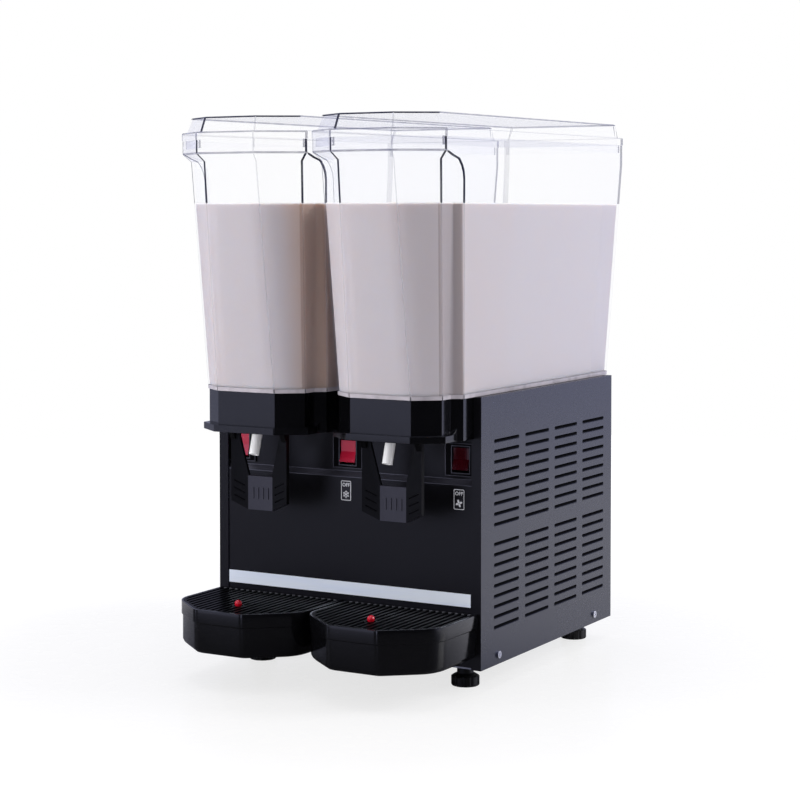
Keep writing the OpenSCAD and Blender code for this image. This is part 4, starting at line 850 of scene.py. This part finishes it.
@dataclass
class Tank:
    """Clear tank with its lid and the drink in it.

    Attributes:
        side: Side of the dispenser.
        line_widths: Width of each kind of edge line, in millimetres.
        lid_line: How much wider the lines are on the lid.
        least_fold: Least angle of an edge that shows, in degrees.
        steep: Least rise of an upright edge, as a share of its length.
        slant: Least rise of an edge of the flute's arch.
        corner: Least angle of a corner of the drink that is rounded, in degrees.
        weld: Distance within which corners of the clear shell are joined.
        floor: Height of the drink's underside.
        gap: Gap between the drink and the wall behind the nose.
        swell: How far into the nose's wall the drink seems to reach.
        flute_start: Distance of the flute from the tank's axis, beyond which the drink gets painted flute
            shade.
        flute_end: Rear end of the flute and of its painted shade.
        soft: Width of the drink's soft corners at the flute.
        soft_front: Width of its soft corners at the flat front.
        front_half: Half the width of the flat front with its corner lines.
        nose_end: Distance behind the cabinet's front where the nose ends.
        rim_low: Height of the rim's lower edge at the nose.
        ledge: Height of the lid's ledge at the nose.
        plateau: Least height of the lid's plateau above the ledge.
        tint: How far below the rim the slants with painted shade start.
        margin: Play in heights that are compared.
        spine: Front and rear end of the line that outward faces look away from.
        lip: Width of the froth at the wall.
        dish: How far the drink's surface dips inside the froth.
        rooms: Hollows in the drink's underside: distance behind the cabinet's front, radius and ceiling.
        room_floor: Height from which the hollows are cut.
    """

    side: Side
    line_widths: dict[Line, float] = field(default_factory=lambda: {
        Line.STRONG: 1.7, Line.MEDIUM: 1.5, Line.FAINT: 0.8, Line.WET: 0.8})
    lid_line: float = 1.3
    least_fold: float = 12.0
    steep: float = 0.35
    slant: float = 0.04
    corner: float = 24.0
    weld: float = 1.2
    floor: float = 354.0
    gap: float = 0.25
    swell: float = 2.4
    flute_start: float = 71.0
    flute_end: float = -30.0
    soft: float = 5.0
    soft_front: float = 16.0
    front_half: float = 48.0
    nose_end: float = -12.0
    rim_low: float = 634.3
    ledge: float = 660.1
    plateau: float = 10.0
    tint: float = 12.0
    margin: float = 2.0
    spine: tuple[float, float] = (-50.0, 340.0)
    lip: float = 2.5
    dish: float = 0.8
    rooms: tuple[tuple[float, float, float], ...] = ((188.0, 68.0, 388.0), (-48.5, 8.0, 358.5))
    room_floor: float = 330.0

    @property
    def middle(self) -> float:
        """Distance of the tank's axis from the middle, in millimetres."""
        return TANK_AXIS * self.side.value

    def in_nose(self, spot: Vector) -> bool:
        """Whether a point is ahead of the nose's rear end."""
        return spot.y < at(0, self.nose_end, 0).y

    def build(self) -> None:
        """Make the tank, the lid and the drink."""
        self.clear_shell(f"tank_{self.side.word}")
        self.clear_shell(f"lid_{self.side.word}")
        self.drink()

    def outward(self, face: BMFace) -> bool:
        """Whether a face looks away from the tank's inside."""
        spot = face.calc_center_median()
        front, rear = (at(0, end, 0).y for end in self.spine)
        axis = Vector((self.middle * MM, min(max(spot.y, front), rear), spot.z))
        return face.normal.dot(spot - axis) > 0 or face.normal.z > LEVEL_FACE

    def line(self, edge: BMEdge, skirt: bool) -> Line | None:
        """How an edge of the tank or lid shows.

        Args:
            edge: Edge of the clear shell.
            skirt: Whether the shell is a lid, with a skirt inside the rim.

        Returns:
            The kind of line, or nothing for an edge that doesn't show.
        """
        marked = any(f.material_index for f in edge.link_faces)
        if marked or not edge.is_convex or edge.calc_face_angle(0.0) < math.radians(self.least_fold):
            return None
        if not all(self.outward(f) for f in edge.link_faces):
            return None
        spot = (edge.verts[0].co + edge.verts[1].co) / 2
        height = spot.z / MM
        ahead = self.in_nose(spot)
        rise = Bench.rise(edge)
        if height < DRINK_LEVEL:
            return Line.WET if rise > self.steep and ahead else None
        if rise > self.steep or (rise > self.slant and height < self.rim_low - self.margin):
            on_front = 0 < spot.x / MM - self.middle < self.front_half
            main = Line.MEDIUM if skirt and height < self.ledge - self.margin else Line.STRONG
            return (Line.FAINT if on_front else main) if ahead else None
        if height > self.ledge + self.plateau:
            return Line.STRONG if ahead else Line.MEDIUM
        if abs(height - self.rim_low) < self.margin and ahead:
            return Line.MEDIUM
        if height < self.ledge - self.margin:
            return None
        return Line.MEDIUM if ahead else Line.FAINT

    def wall(self, face: BMFace) -> int:
        """Material number of a clear face that isn't an edge line."""
        spot, normal = face.calc_center_median(), face.normal
        # Side faces of the tank's floor get the painted refraction of the drink.
        if spot.z < self.floor * MM:
            return len(Line) + 1 if abs(normal.z) < LEVEL_FACE else 0
        if spot.z < DRINK_LEVEL * MM or not self.outward(face):
            return 0
        # Faces above the drink that look to the rear corners get painted refraction lines.
        if normal.y > 0.5 and abs(normal.x) > 0.5:
            return Line.MEDIUM.value if normal.x > 0 else Line.FAINT.value
        # Slants near the rim that look to the front-left get painted shade.
        slanted = normal.x < -0.4 and normal.y < -0.4
        return len(Line) + 2 if slanted and spot.z > (self.rim_low - self.tint) * MM else 0

    def clear_shell(self, node: str) -> None:
        """Show a clear node with painted dark refraction lines at its moulded edges.

        Args:
            node: Name of the CAD node.
        """
        lid = node.startswith("lid")
        bm = Bench.merged(node)
        bmesh.ops.remove_doubles(bm, verts=bm.verts, dist=self.weld * MM)
        bm.normal_update()
        level_joins = [e for e in bm.edges if e.is_manifold
                       and all(abs(f.normal.z) > 0.98 for f in e.link_faces)]
        bmesh.ops.dissolve_edges(bm, edges=level_joins, use_verts=False)
        for height in (self.floor, DRINK_LEVEL):
            Bench.slice(bm, height)
        for kind in Line:
            width = self.line_widths[kind] * (self.lid_line if lid else 1.0)
            bm.normal_update()
            edges = [e for e in bm.edges if e.is_manifold and self.line(e, lid) is kind]
            for face in Bench.bevel(bm, edges, width, 2):
                longest = max(e.calc_length() for e in face.edges)
                if face.calc_area() < 2.5 * width * MM * longest:
                    face.material_index = kind.value
        bm.normal_update()
        for face in bm.faces:
            if not face.material_index:
                face.material_index = self.wall(face)
        body = frame["nodes"][node]["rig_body"]
        looks = [CLEAR, CLEAR_EDGE, CLEAR_MID_EDGE, CLEAR_FAINT_EDGE, CLEAR_WET_EDGE, CLEAR_BASE, CLEAR_SLANT_SHADE]
        made = Bench.piece("clear_" + node, bm, looks, body, "clear_plastic", 20.0)
        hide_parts(node)

    def filled_inside(self) -> BMesh:
        """Inner wall of the tank from the drink's underside to its level, closed at both ends."""
        bm = Bench.merged(f"tank_{self.side.word}")
        bm.normal_update()
        other = [f for f in bm.faces if self.outward(f) or abs(f.normal.z) > LEVEL_FACE]
        bmesh.ops.delete(bm, geom=other, context="FACES")
        Bench.slice(bm, self.floor, drop_below=True)
        Bench.slice(bm, DRINK_LEVEL, drop_above=True)
        bmesh.ops.holes_fill(bm, edges=[e for e in bm.edges if e.is_boundary], sides=0)
        bmesh.ops.recalc_face_normals(bm, faces=bm.faces)
        bm.normal_update()
        return bm

    def soften_drink(self, bm: BMesh) -> None:
        """Fit the drink's sides to the wall and round its corners."""
        for vert in bm.verts:
            flat = Vector((vert.normal.x, vert.normal.y, 0))
            reach = self.swell if self.in_nose(vert.co) else -self.gap
            vert.co += flat.normalized() * reach * MM if flat.length > 0.1 else Vector()
        for on_front, width in ((True, self.soft_front), (False, self.soft)):
            upright = [e for e in bm.edges
                       if e.calc_face_angle(0.0) > math.radians(self.corner) and Bench.rise(e) > 0.8
                       and (abs(e.verts[0].co.x / MM - self.middle) < self.front_half) is on_front]
            Bench.bevel(bm, upright, width, 6)
            bm.normal_update()

    def drink(self) -> None:
        """Fill the tank up to the drink's level, with room for what stands in it."""
        bm = self.filled_inside()
        self.soften_drink(bm)
        top = [f for f in bm.faces if f.normal.z > 0.9]
        bmesh.ops.inset_region(bm, faces=top, thickness=self.lip * MM, use_boundary=True)
        bmesh.ops.translate(bm, vec=(0, 0, -self.dish * MM), verts=list({v for f in top for v in f.verts}))
        # Faces in the flutes get the drink's painted flute shade.
        for face in bm.faces:
            spot = face.calc_center_median()
            beside = abs(spot.x / MM - self.middle) > self.flute_start and spot.y < at(0, self.flute_end, 0).y
            face.material_index = 1 if beside and abs(face.normal.z) < LEVEL_FACE else 0
        body = f"tank_{self.side.word}"
        made = Bench.piece(f"drink_{self.side.word}", bm, [MILKY, MILKY_FLUTE_SHADE], body, None, 35.0)
        for behind, radius, ceiling in self.rooms:
            self.hollow(made, behind, radius, ceiling)

    def hollow(self, piece: Object, behind: float, radius: float, ceiling: float) -> None:
        """Cut a round room out of a piece's underside.

        Args:
            piece: Piece to cut.
            behind: Distance of the room's axis behind the cabinet's front, in millimetres.
            radius: Its radius.
            ceiling: Height of its ceiling.
        """
        bm = bmesh.new()
        spot = at(self.middle, behind, (ceiling + self.room_floor) / 2)
        bmesh.ops.create_cone(bm, cap_ends=True, segments=48, radius1=radius * MM, radius2=radius * MM,
                              depth=(ceiling - self.room_floor) * MM, matrix=Matrix.Translation(spot))
        room = Bench.placed("room", Bench.mesh("room", bm))
        cut = piece.modifiers.new("room", "BOOLEAN")
        cut.operation, cut.solver, cut.object = "DIFFERENCE", "EXACT", room
        graph = bpy.context.evaluated_depsgraph_get()
        cleared = bpy.data.meshes.new_from_object(piece.evaluated_get(graph), depsgraph=graph)
        piece.modifiers.clear()
        piece.data = cleared
        bpy.data.objects.remove(room)


@dataclass
class Tap:
    """Fascia, spout and push lever under one tank.

    Attributes:
        side: Side of the dispenser.
        pad_half: Half the width of the lever's pad, in millimetres.
        pad_face: Distance of the pad's face behind the cabinet's front.
        wing_turn: Angle of the lever's wings to the pad, in degrees.
        groove_depth: Depth of the grooves in the wings.
    """

    side: Side
    pad_half: float = 17.6
    pad_face: float = -46.3
    wing_turn: float = 9.0
    groove_depth: float = 0.8

    def build(self) -> None:
        """Make the tap's visible pieces."""
        SoftNode(f"fascia_{self.side.word}", 0.9, 24.0, segments=3).build()
        SoftNode(f"tap_spout_{self.side.word}", 0.5, 40.0).build()
        SoftNode(f"push_lever_{self.side.word}", 0.3, 24.0, finishes=(LEVER_BLACK, LEVER_PAD_SHEEN, GROOVE_SHADE),
                 paint=self.lever_part).build()

    def lever_part(self, face: BMFace) -> int:
        """Number 1 for the lever's pad with its painted sheen, 2 for the grooves in its wings with their
        painted shade, 0 for the rest.
        """
        spot = face.calc_center_median() - at(TANK_AXIS * self.side.value, self.pad_face, 0)
        out = abs(spot.x) / MM - self.pad_half
        turn = math.radians(self.wing_turn)
        deep = out * math.sin(turn) + spot.y / MM * math.cos(turn)
        if out < 0.1:
            return 1 if face.normal.y < -0.5 and abs(spot.y) < MM else 0
        return 2 if 0.1 < deep < self.groove_depth + 0.05 else 0


@dataclass
class Tray:
    """Drip tray, grille and float of one side.

    Attributes:
        side: Side of the dispenser.
        slot_end: Distance behind the cabinet's front where the slots' rear ends and their painted glints
            begin, in millimetres.
    """

    side: Side
    slot_end: float = -14.0

    def build(self) -> None:
        """Make the tray's visible pieces."""
        SoftNode(f"drip_tray_{self.side.word}", 1.1, 36.0, segments=3, flat=False).build()
        SoftNode(f"drip_grille_{self.side.word}", 0.6, 40.0, segments=3, finishes=(GRILLE_BLACK, GRILLE_GLINT),
                 paint=self.slot_tip).build()
        SoftNode(f"float_{self.side.word}", 0.3, 60.0, 45.0).build()

    def slot_tip(self, face: BMFace) -> int:
        """Number 1 for the faces at the rear ends of the grille's slots, which get a painted glint."""
        shown = face.normal.y < -0.9 or face.normal.x > 0.9
        return 1 if shown and face.calc_center_median().y > at(0, self.slot_end, 0).y else 0


@dataclass
class SwitchBank:
    """Rocker switches with their frames and labels.

    Attributes:
        pitch: Distance of the outer switches from the middle, in millimetres.
        height: Height of the switches.
        face: Distance of the bezels' face behind the cabinet's front.
        panel: Distance of the panel's face behind the cabinet's front.
        rails: Size, width and thickness of the rails round a bezel and round its rocker.
        label_height: Height of the labels' middles.
        label_size: Width and height of a label.
        label_corner: Radius of its corners.
        label_thick: Its thickness.
        sunk: How far frames and labels reach into what they lie on.
    """

    pitch: float = 155.0
    height: float = 274.0
    face: float = 5.5
    panel: float = 1.5
    rails: Sequence[tuple[tuple[float, float], float, float]] = (
        ((41.6, 39.6), 1.1, 0.7), ((25.6, 33.6), 1.3, 0.5))
    label_height: float = 227.5
    label_size: tuple[float, float] = (14.5, 24.5)
    label_corner: float = 1.6
    label_thick: float = 0.10
    sunk: float = 0.02

    def build(self) -> None:
        """Make the switches, frames and labels."""
        SoftNode("switch_housings", 0.4, finishes=(GRILLE_BLACK,)).build()
        for word in ("left", "middle", "right"):
            # The right rocker gets the darker copy of the red as painted shade.
            lens = SHADED_ROCKER if word == "right" else RED_ROCKER
            SoftNode(f"rocker_{word}", 0.8, 12.0, 60.0, 3, (lens,)).build()
        for word, x in (("left", -self.pitch), ("middle", 0.0), ("right", self.pitch)):
            self.frame_rails(word, x)
            self.label(word, x, Sign.COOLING if word == "middle" else Sign.MIXING)

    @staticmethod
    def rail(size: tuple[float, float], width: float, proud: float, soft: float = 0.0) -> BMesh:
        """Flat rectangular rail about its own middle.

        Args:
            size: Outer width and height in millimetres.
            width: Width of the rail.
            proud: Its thickness.
            soft: Radius of its outer corners.

        Returns:
            The rail, flat on the floor plane, in metres.
        """
        bm = Bench.plate(size, soft)
        inner = bm.faces[:]
        bmesh.ops.inset_region(bm, faces=inner, thickness=width * MM, use_even_offset=True, use_boundary=True)
        bmesh.ops.delete(bm, geom=inner, context="FACES")
        Bench.thicken(bm, proud)
        return bm

    def frame_rails(self, word: str, x: float) -> None:
        """Raised rails round a bezel and round its rocker, in grey that paints their highlights.

        Args:
            word: Place of the switch.
            x: Its distance from the middle.
        """
        bm = bmesh.new()
        for size, width, proud in self.rails:
            part = self.rail(size, width, proud)
            Bench.soften(part, 0.2, 40.0)
            Bench.upright(part, at(x, self.face - self.sunk, self.height))
            Bench.absorb(bm, part)
        Bench.piece(f"bezel_rails_{word}", bm, [HIGHLIGHT_GREY], "cabinet", "satin_black")

    def label(self, word: str, x: float, sign: Sign) -> None:
        """Small outlined label with the word OFF and a symbol.

        Args:
            word: Place of the switch.
            x: Its distance from the middle.
            sign: Symbol of the label.
        """
        wide, tall = self.label_size
        bm = Bench.plate(self.label_size, self.label_corner)
        Bench.thicken(bm, self.label_thick)
        printed = self.rail((wide - 0.6, tall - 0.6), 0.75, 0.05, 1.4)
        for ink in (printed, self.word_mesh("OFF", 6.0, (0.0, 6.8)), self.symbol(sign, (0.0, -4.6))):
            bmesh.ops.translate(ink, vec=(0, 0, self.label_thick * MM), verts=ink.verts)
            for face in Bench.absorb(bm, ink):
                face.material_index = 1
        Bench.upright(bm, at(x, self.panel - self.sunk, self.label_height))
        Bench.piece(f"label_{word}", bm, [LABEL_BLACK, INK_WHITE], "cabinet")

    @staticmethod
    def word_mesh(word: str, size: float, spot: tuple[float, float]) -> BMesh:
        """Lettering as a thin mesh.

        Args:
            word: Letters to set.
            size: Letter size in millimetres.
            spot: Middle of the word on the label.

        Returns:
            The letters, flat on the floor plane, in metres.
        """
        curve = bpy.data.curves.new("label_word", "FONT")
        curve.body, curve.size, curve.extrude, curve.offset = word, size * MM, 0.03 * MM, 0.08 * MM
        curve.align_x, curve.align_y = "CENTER", "CENTER"
        curve.resolution_u = 3
        holder = Bench.placed("label_word", curve)
        graph = bpy.context.evaluated_depsgraph_get()
        mesh = bpy.data.meshes.new_from_object(holder.evaluated_get(graph), depsgraph=graph)
        bm = bmesh.new()
        bm.from_mesh(mesh)
        bmesh.ops.remove_doubles(bm, verts=bm.verts, dist=1e-7)
        bmesh.ops.translate(bm, vec=(spot[0] * MM, spot[1] * MM, 0.03 * MM), verts=bm.verts)
        bpy.data.objects.remove(holder)
        bpy.data.meshes.remove(mesh)
        return bm

    @staticmethod
    def symbol(sign: Sign, spot: tuple[float, float]) -> BMesh:
        """A snow crystal or a small propeller.

        Args:
            sign: Which symbol.
            spot: Its middle on the label, in millimetres.

        Returns:
            The symbol, flat on the floor plane, in metres.
        """
        bm = bmesh.new()

        def bar(length: float, width: float, out: float, lean: float, turn: float) -> None:
            """One flat bar, leaning at a distance from the middle."""
            move = (Matrix.Rotation(turn, 4, "Z") @ Matrix.Translation((0, out * MM, 0.025 * MM))
                    @ Matrix.Rotation(lean, 4, "Z") @ Matrix.Translation((0, length / 2 * MM, 0))
                    @ Matrix.Diagonal((width * MM, length * MM, 0.05 * MM, 1.0)))
            bmesh.ops.create_cube(bm, size=1.0, matrix=move)

        if sign is Sign.COOLING:
            for i in range(6):
                turn = i * math.pi / 3
                bar(4.6, 0.7, 0.0, 0.0, turn)
                for lean in (-0.9, 0.9):
                    bar(1.7, 0.6, 2.4, lean, turn)
        else:
            for i in range(4):
                turn = i * math.pi / 2 + 0.35
                move = (Matrix.Rotation(turn, 4, "Z") @ Matrix.Translation((0, 2.5 * MM, 0.025 * MM))
                        @ Matrix.Diagonal((0.62, 1.0, 1.0, 1.0)))
                bmesh.ops.create_cone(bm, cap_ends=True, segments=14, radius1=2.1 * MM, radius2=2.1 * MM,
                                      depth=0.05 * MM, matrix=move)
        bmesh.ops.translate(bm, vec=(spot[0] * MM, spot[1] * MM, 0), verts=bm.verts)
        return bm


@dataclass
class Studio:
    """Camera, light and floor.

    Attributes:
        eye: Camera's place in metres.
        tilt: Camera's turn from straight down, in degrees.
        turn: Camera's turn about the vertical, in degrees.
        lens: Focal length in millimetres.
        drop: Vertical shift of the frame.
        floor_radius: Radius of the floor in metres.
        fill: Plain brightness of the room, as matt surfaces see it.
        softbox: Azimuth of the front softbox that gloss shows, in degrees left of the front, and its
            half width.
        strips: Azimuths of the narrow strip lamps that gloss shows.
        strip_half: Their half width.
        paper: Colour of the floor.
        mirrored: Colour of the floor before the object, as gloss shows it.
    """

    eye: tuple[float, float, float] = (1.25299, -2.20913, 0.56276)
    tilt: float = 87.673
    turn: float = 29.657
    lens: float = 90.13
    drop: float = -0.1309
    floor_radius: float = 2.6
    fill: float = 0.55
    softbox: tuple[float, float] = (29.0, 14.0)
    strips: tuple[float, ...] = (62.0, -6.0)
    strip_half: float = 4.0
    paper: Rgb = (0.86, 0.86, 0.88, 1.0)
    mirrored: Rgb = (0.05, 0.05, 0.06, 1.0)

    def build(self) -> None:
        """Set up the camera, the light and the floor."""
        bpy.context.scene.view_settings.view_transform = "Standard"
        bpy.context.scene.cycles.transparent_max_bounces = 64
        self.camera()
        self.sky()
        self.floor()
        self.lamp("left_softbox", (-2.1, -1.0, 1.7), (0, 0, 0.35), (1.0, 1.8), 2.5)
        self.lamp("right_softbox", (2.3, 1.2, 1.6), (0, 0, 0.35), (1.2, 1.6), 38.0)
        self.lamp("top_softbox", (-0.2, 0.1, 2.3), (0, 0, 0.4), (1.4, 1.4), 14.0)
        self.lamp("front_fill", (-1.7, -1.9, 0.42), (0, -0.1, 0.25), (0.7, 0.7), 29.0).visible_glossy = False

    def camera(self) -> None:
        """Place the camera as the photograph's."""
        data = bpy.data.cameras.new("view")
        data.lens, data.sensor_width, data.shift_y = self.lens, 36.0, self.drop
        data.clip_start, data.clip_end = 0.05, 50.0
        eye = Bench.placed("view", data)
        eye.location = self.eye
        eye.rotation_euler = (math.radians(self.tilt), 0.0, math.radians(self.turn))
        bpy.context.scene.camera = eye

    def sky(self) -> None:
        """Set up a white room that gloss sees as dim at the front, with a softbox and two strip lamps."""
        world = bpy.data.worlds.new("studio")
        bpy.context.scene.world = world
        book = NodeBook(world)
        camera, through, glossy = (book.ray(kind) for kind in ("Camera", "Transmission", "Glossy"))
        way = book.add("ShaderNodeTexCoord", out="Generated")
        x, y, z = (book.axis(way, letter) for letter in "XYZ")
        azimuth = book.add("ShaderNodeMath", {"operation": "ARCTAN2"}, {0: x * -1.0, 1: y * -1.0})
        band = book.step(z, -0.50, -0.40) * (1.0 - book.step(z, 0.50, 0.70))

        def lamp_at(degrees: float, half: float) -> Sock:
            """Upright lamp at an azimuth, 1 inside its half width."""
            off = book.add("ShaderNodeMath", {"operation": "ABSOLUTE"}, {0: azimuth - math.radians(degrees)})
            return (1.0 - book.step(off, math.radians(half * 0.75), math.radians(half * 1.1))) * band

        rear = book.step(y, -0.25, 0.35) * (book.step(x, -0.6, 0.6) * 0.50 + 0.35)
        gloss = rear + book.step(z, 0.25, 0.8) * 0.5 + lamp_at(*self.softbox) * 0.95 + 0.03
        for strip in self.strips:
            gloss = gloss + lamp_at(strip, self.strip_half) * 2.2
        seen = book.add("ShaderNodeMath", {"operation": "MAXIMUM"}, {0: camera, 1: through})
        level = seen + (1.0 - seen) * (glossy * gloss + (1.0 - glossy) * self.fill)
        shade = book.blend(glossy, (1.0, 0.98, 0.98, 1.0), (0.78, 0.81, 1.14, 1.0))
        tint = book.blend(seen, shade, (1.0, 1.0, 1.0, 1.0))
        light = book.add("ShaderNodeBackground", {}, {"Color": tint, "Strength": level})
        book.add("ShaderNodeOutputWorld", {}, {"Surface": light})

    def floor(self) -> None:
        """Pale round floor that fades into the white room."""
        bm = bmesh.new()
        bmesh.ops.create_circle(bm, cap_ends=True, segments=96, radius=self.floor_radius)
        bmesh.ops.translate(bm, vec=(0, 0, -0.0003), verts=bm.verts)
        mesh = Bench.mesh("floor", bm)
        floor = Bench.placed("floor", mesh)
        paint = bpy.data.materials.new("floor_paper")
        book = NodeBook(paint)
        place = book.place()
        away = book.add("ShaderNodeVectorMath", {"operation": "LENGTH"}, {0: place}, "Value")
        camera, glossy = book.ray("Camera"), book.ray("Glossy")
        front = 1.0 - book.step(book.axis(place, "Y"), -0.25, 0.20)
        mottle = book.noise(place, 30.0, 2.0)
        dim = glossy * front * 0.94 + mottle * 0.03
        paper = book.add("ShaderNodeBsdfPrincipled", {}, {
            "Base Color": book.blend(dim, self.paper, self.mirrored),
            "Roughness": mottle * 0.06 + 0.24,
            "Specular IOR Level": 0.4,
        })
        white = book.add("ShaderNodeEmission", {}, {"Color": (1.0, 1.0, 1.0, 1.0), "Strength": 1.18})
        bright = (book.step(away, 0.45, 1.0) * 0.38 + 0.62) * camera
        mixed = book.add("ShaderNodeMixShader", {}, {0: bright, 1: paper, 2: white})
        book.add("ShaderNodeOutputMaterial", {}, {"Surface": mixed})
        mesh.materials.append(paint)

    @staticmethod
    def lamp(name: str, place: Sequence[float], target: Sequence[float], size: Sequence[float],
             power: float) -> Object:
        """Add a soft rectangular lamp.

        Args:
            name: Name of the lamp.
            place: Its place in metres.
            target: Point it is aimed at.
            size: Its width and height.
            power: Its power in watts.

        Returns:
            The lamp's object.
        """
        data = bpy.data.lights.new(name, "AREA")
        data.shape, data.size, data.size_y, data.energy = "RECTANGLE", size[0], size[1], power
        lamp = Bench.placed(name, data)
        lamp.location = place
        lamp.rotation_euler = (Vector(target) - Vector(place)).to_track_quat("-Z", "Y").to_euler()
        return lamp


def dress_nodes() -> None:
    """Give every CAD node the finish of its material slot."""
    for node, slot in NODE_SLOTS.items():
        mesh = frame["nodes"][node].data
        mesh.materials.clear()
        mesh.materials.append(SLOT_FINISHES[slot].material())


def write_sizes() -> None:
    """Bring the view layer up to date."""
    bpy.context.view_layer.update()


def main() -> None:
    """Build the scene, sub-assembly by sub-assembly."""
    logging.basicConfig(level=logging.INFO, format="%(message)s")
    Studio().build()
    dress_nodes()
    Cabinet().build()
    SwitchBank().build()
    for side in Side:
        Tank(side).build()
        Tap(side).build()
        Tray(side).build()
    write_sizes()


if __name__ == "__main__":
    main()
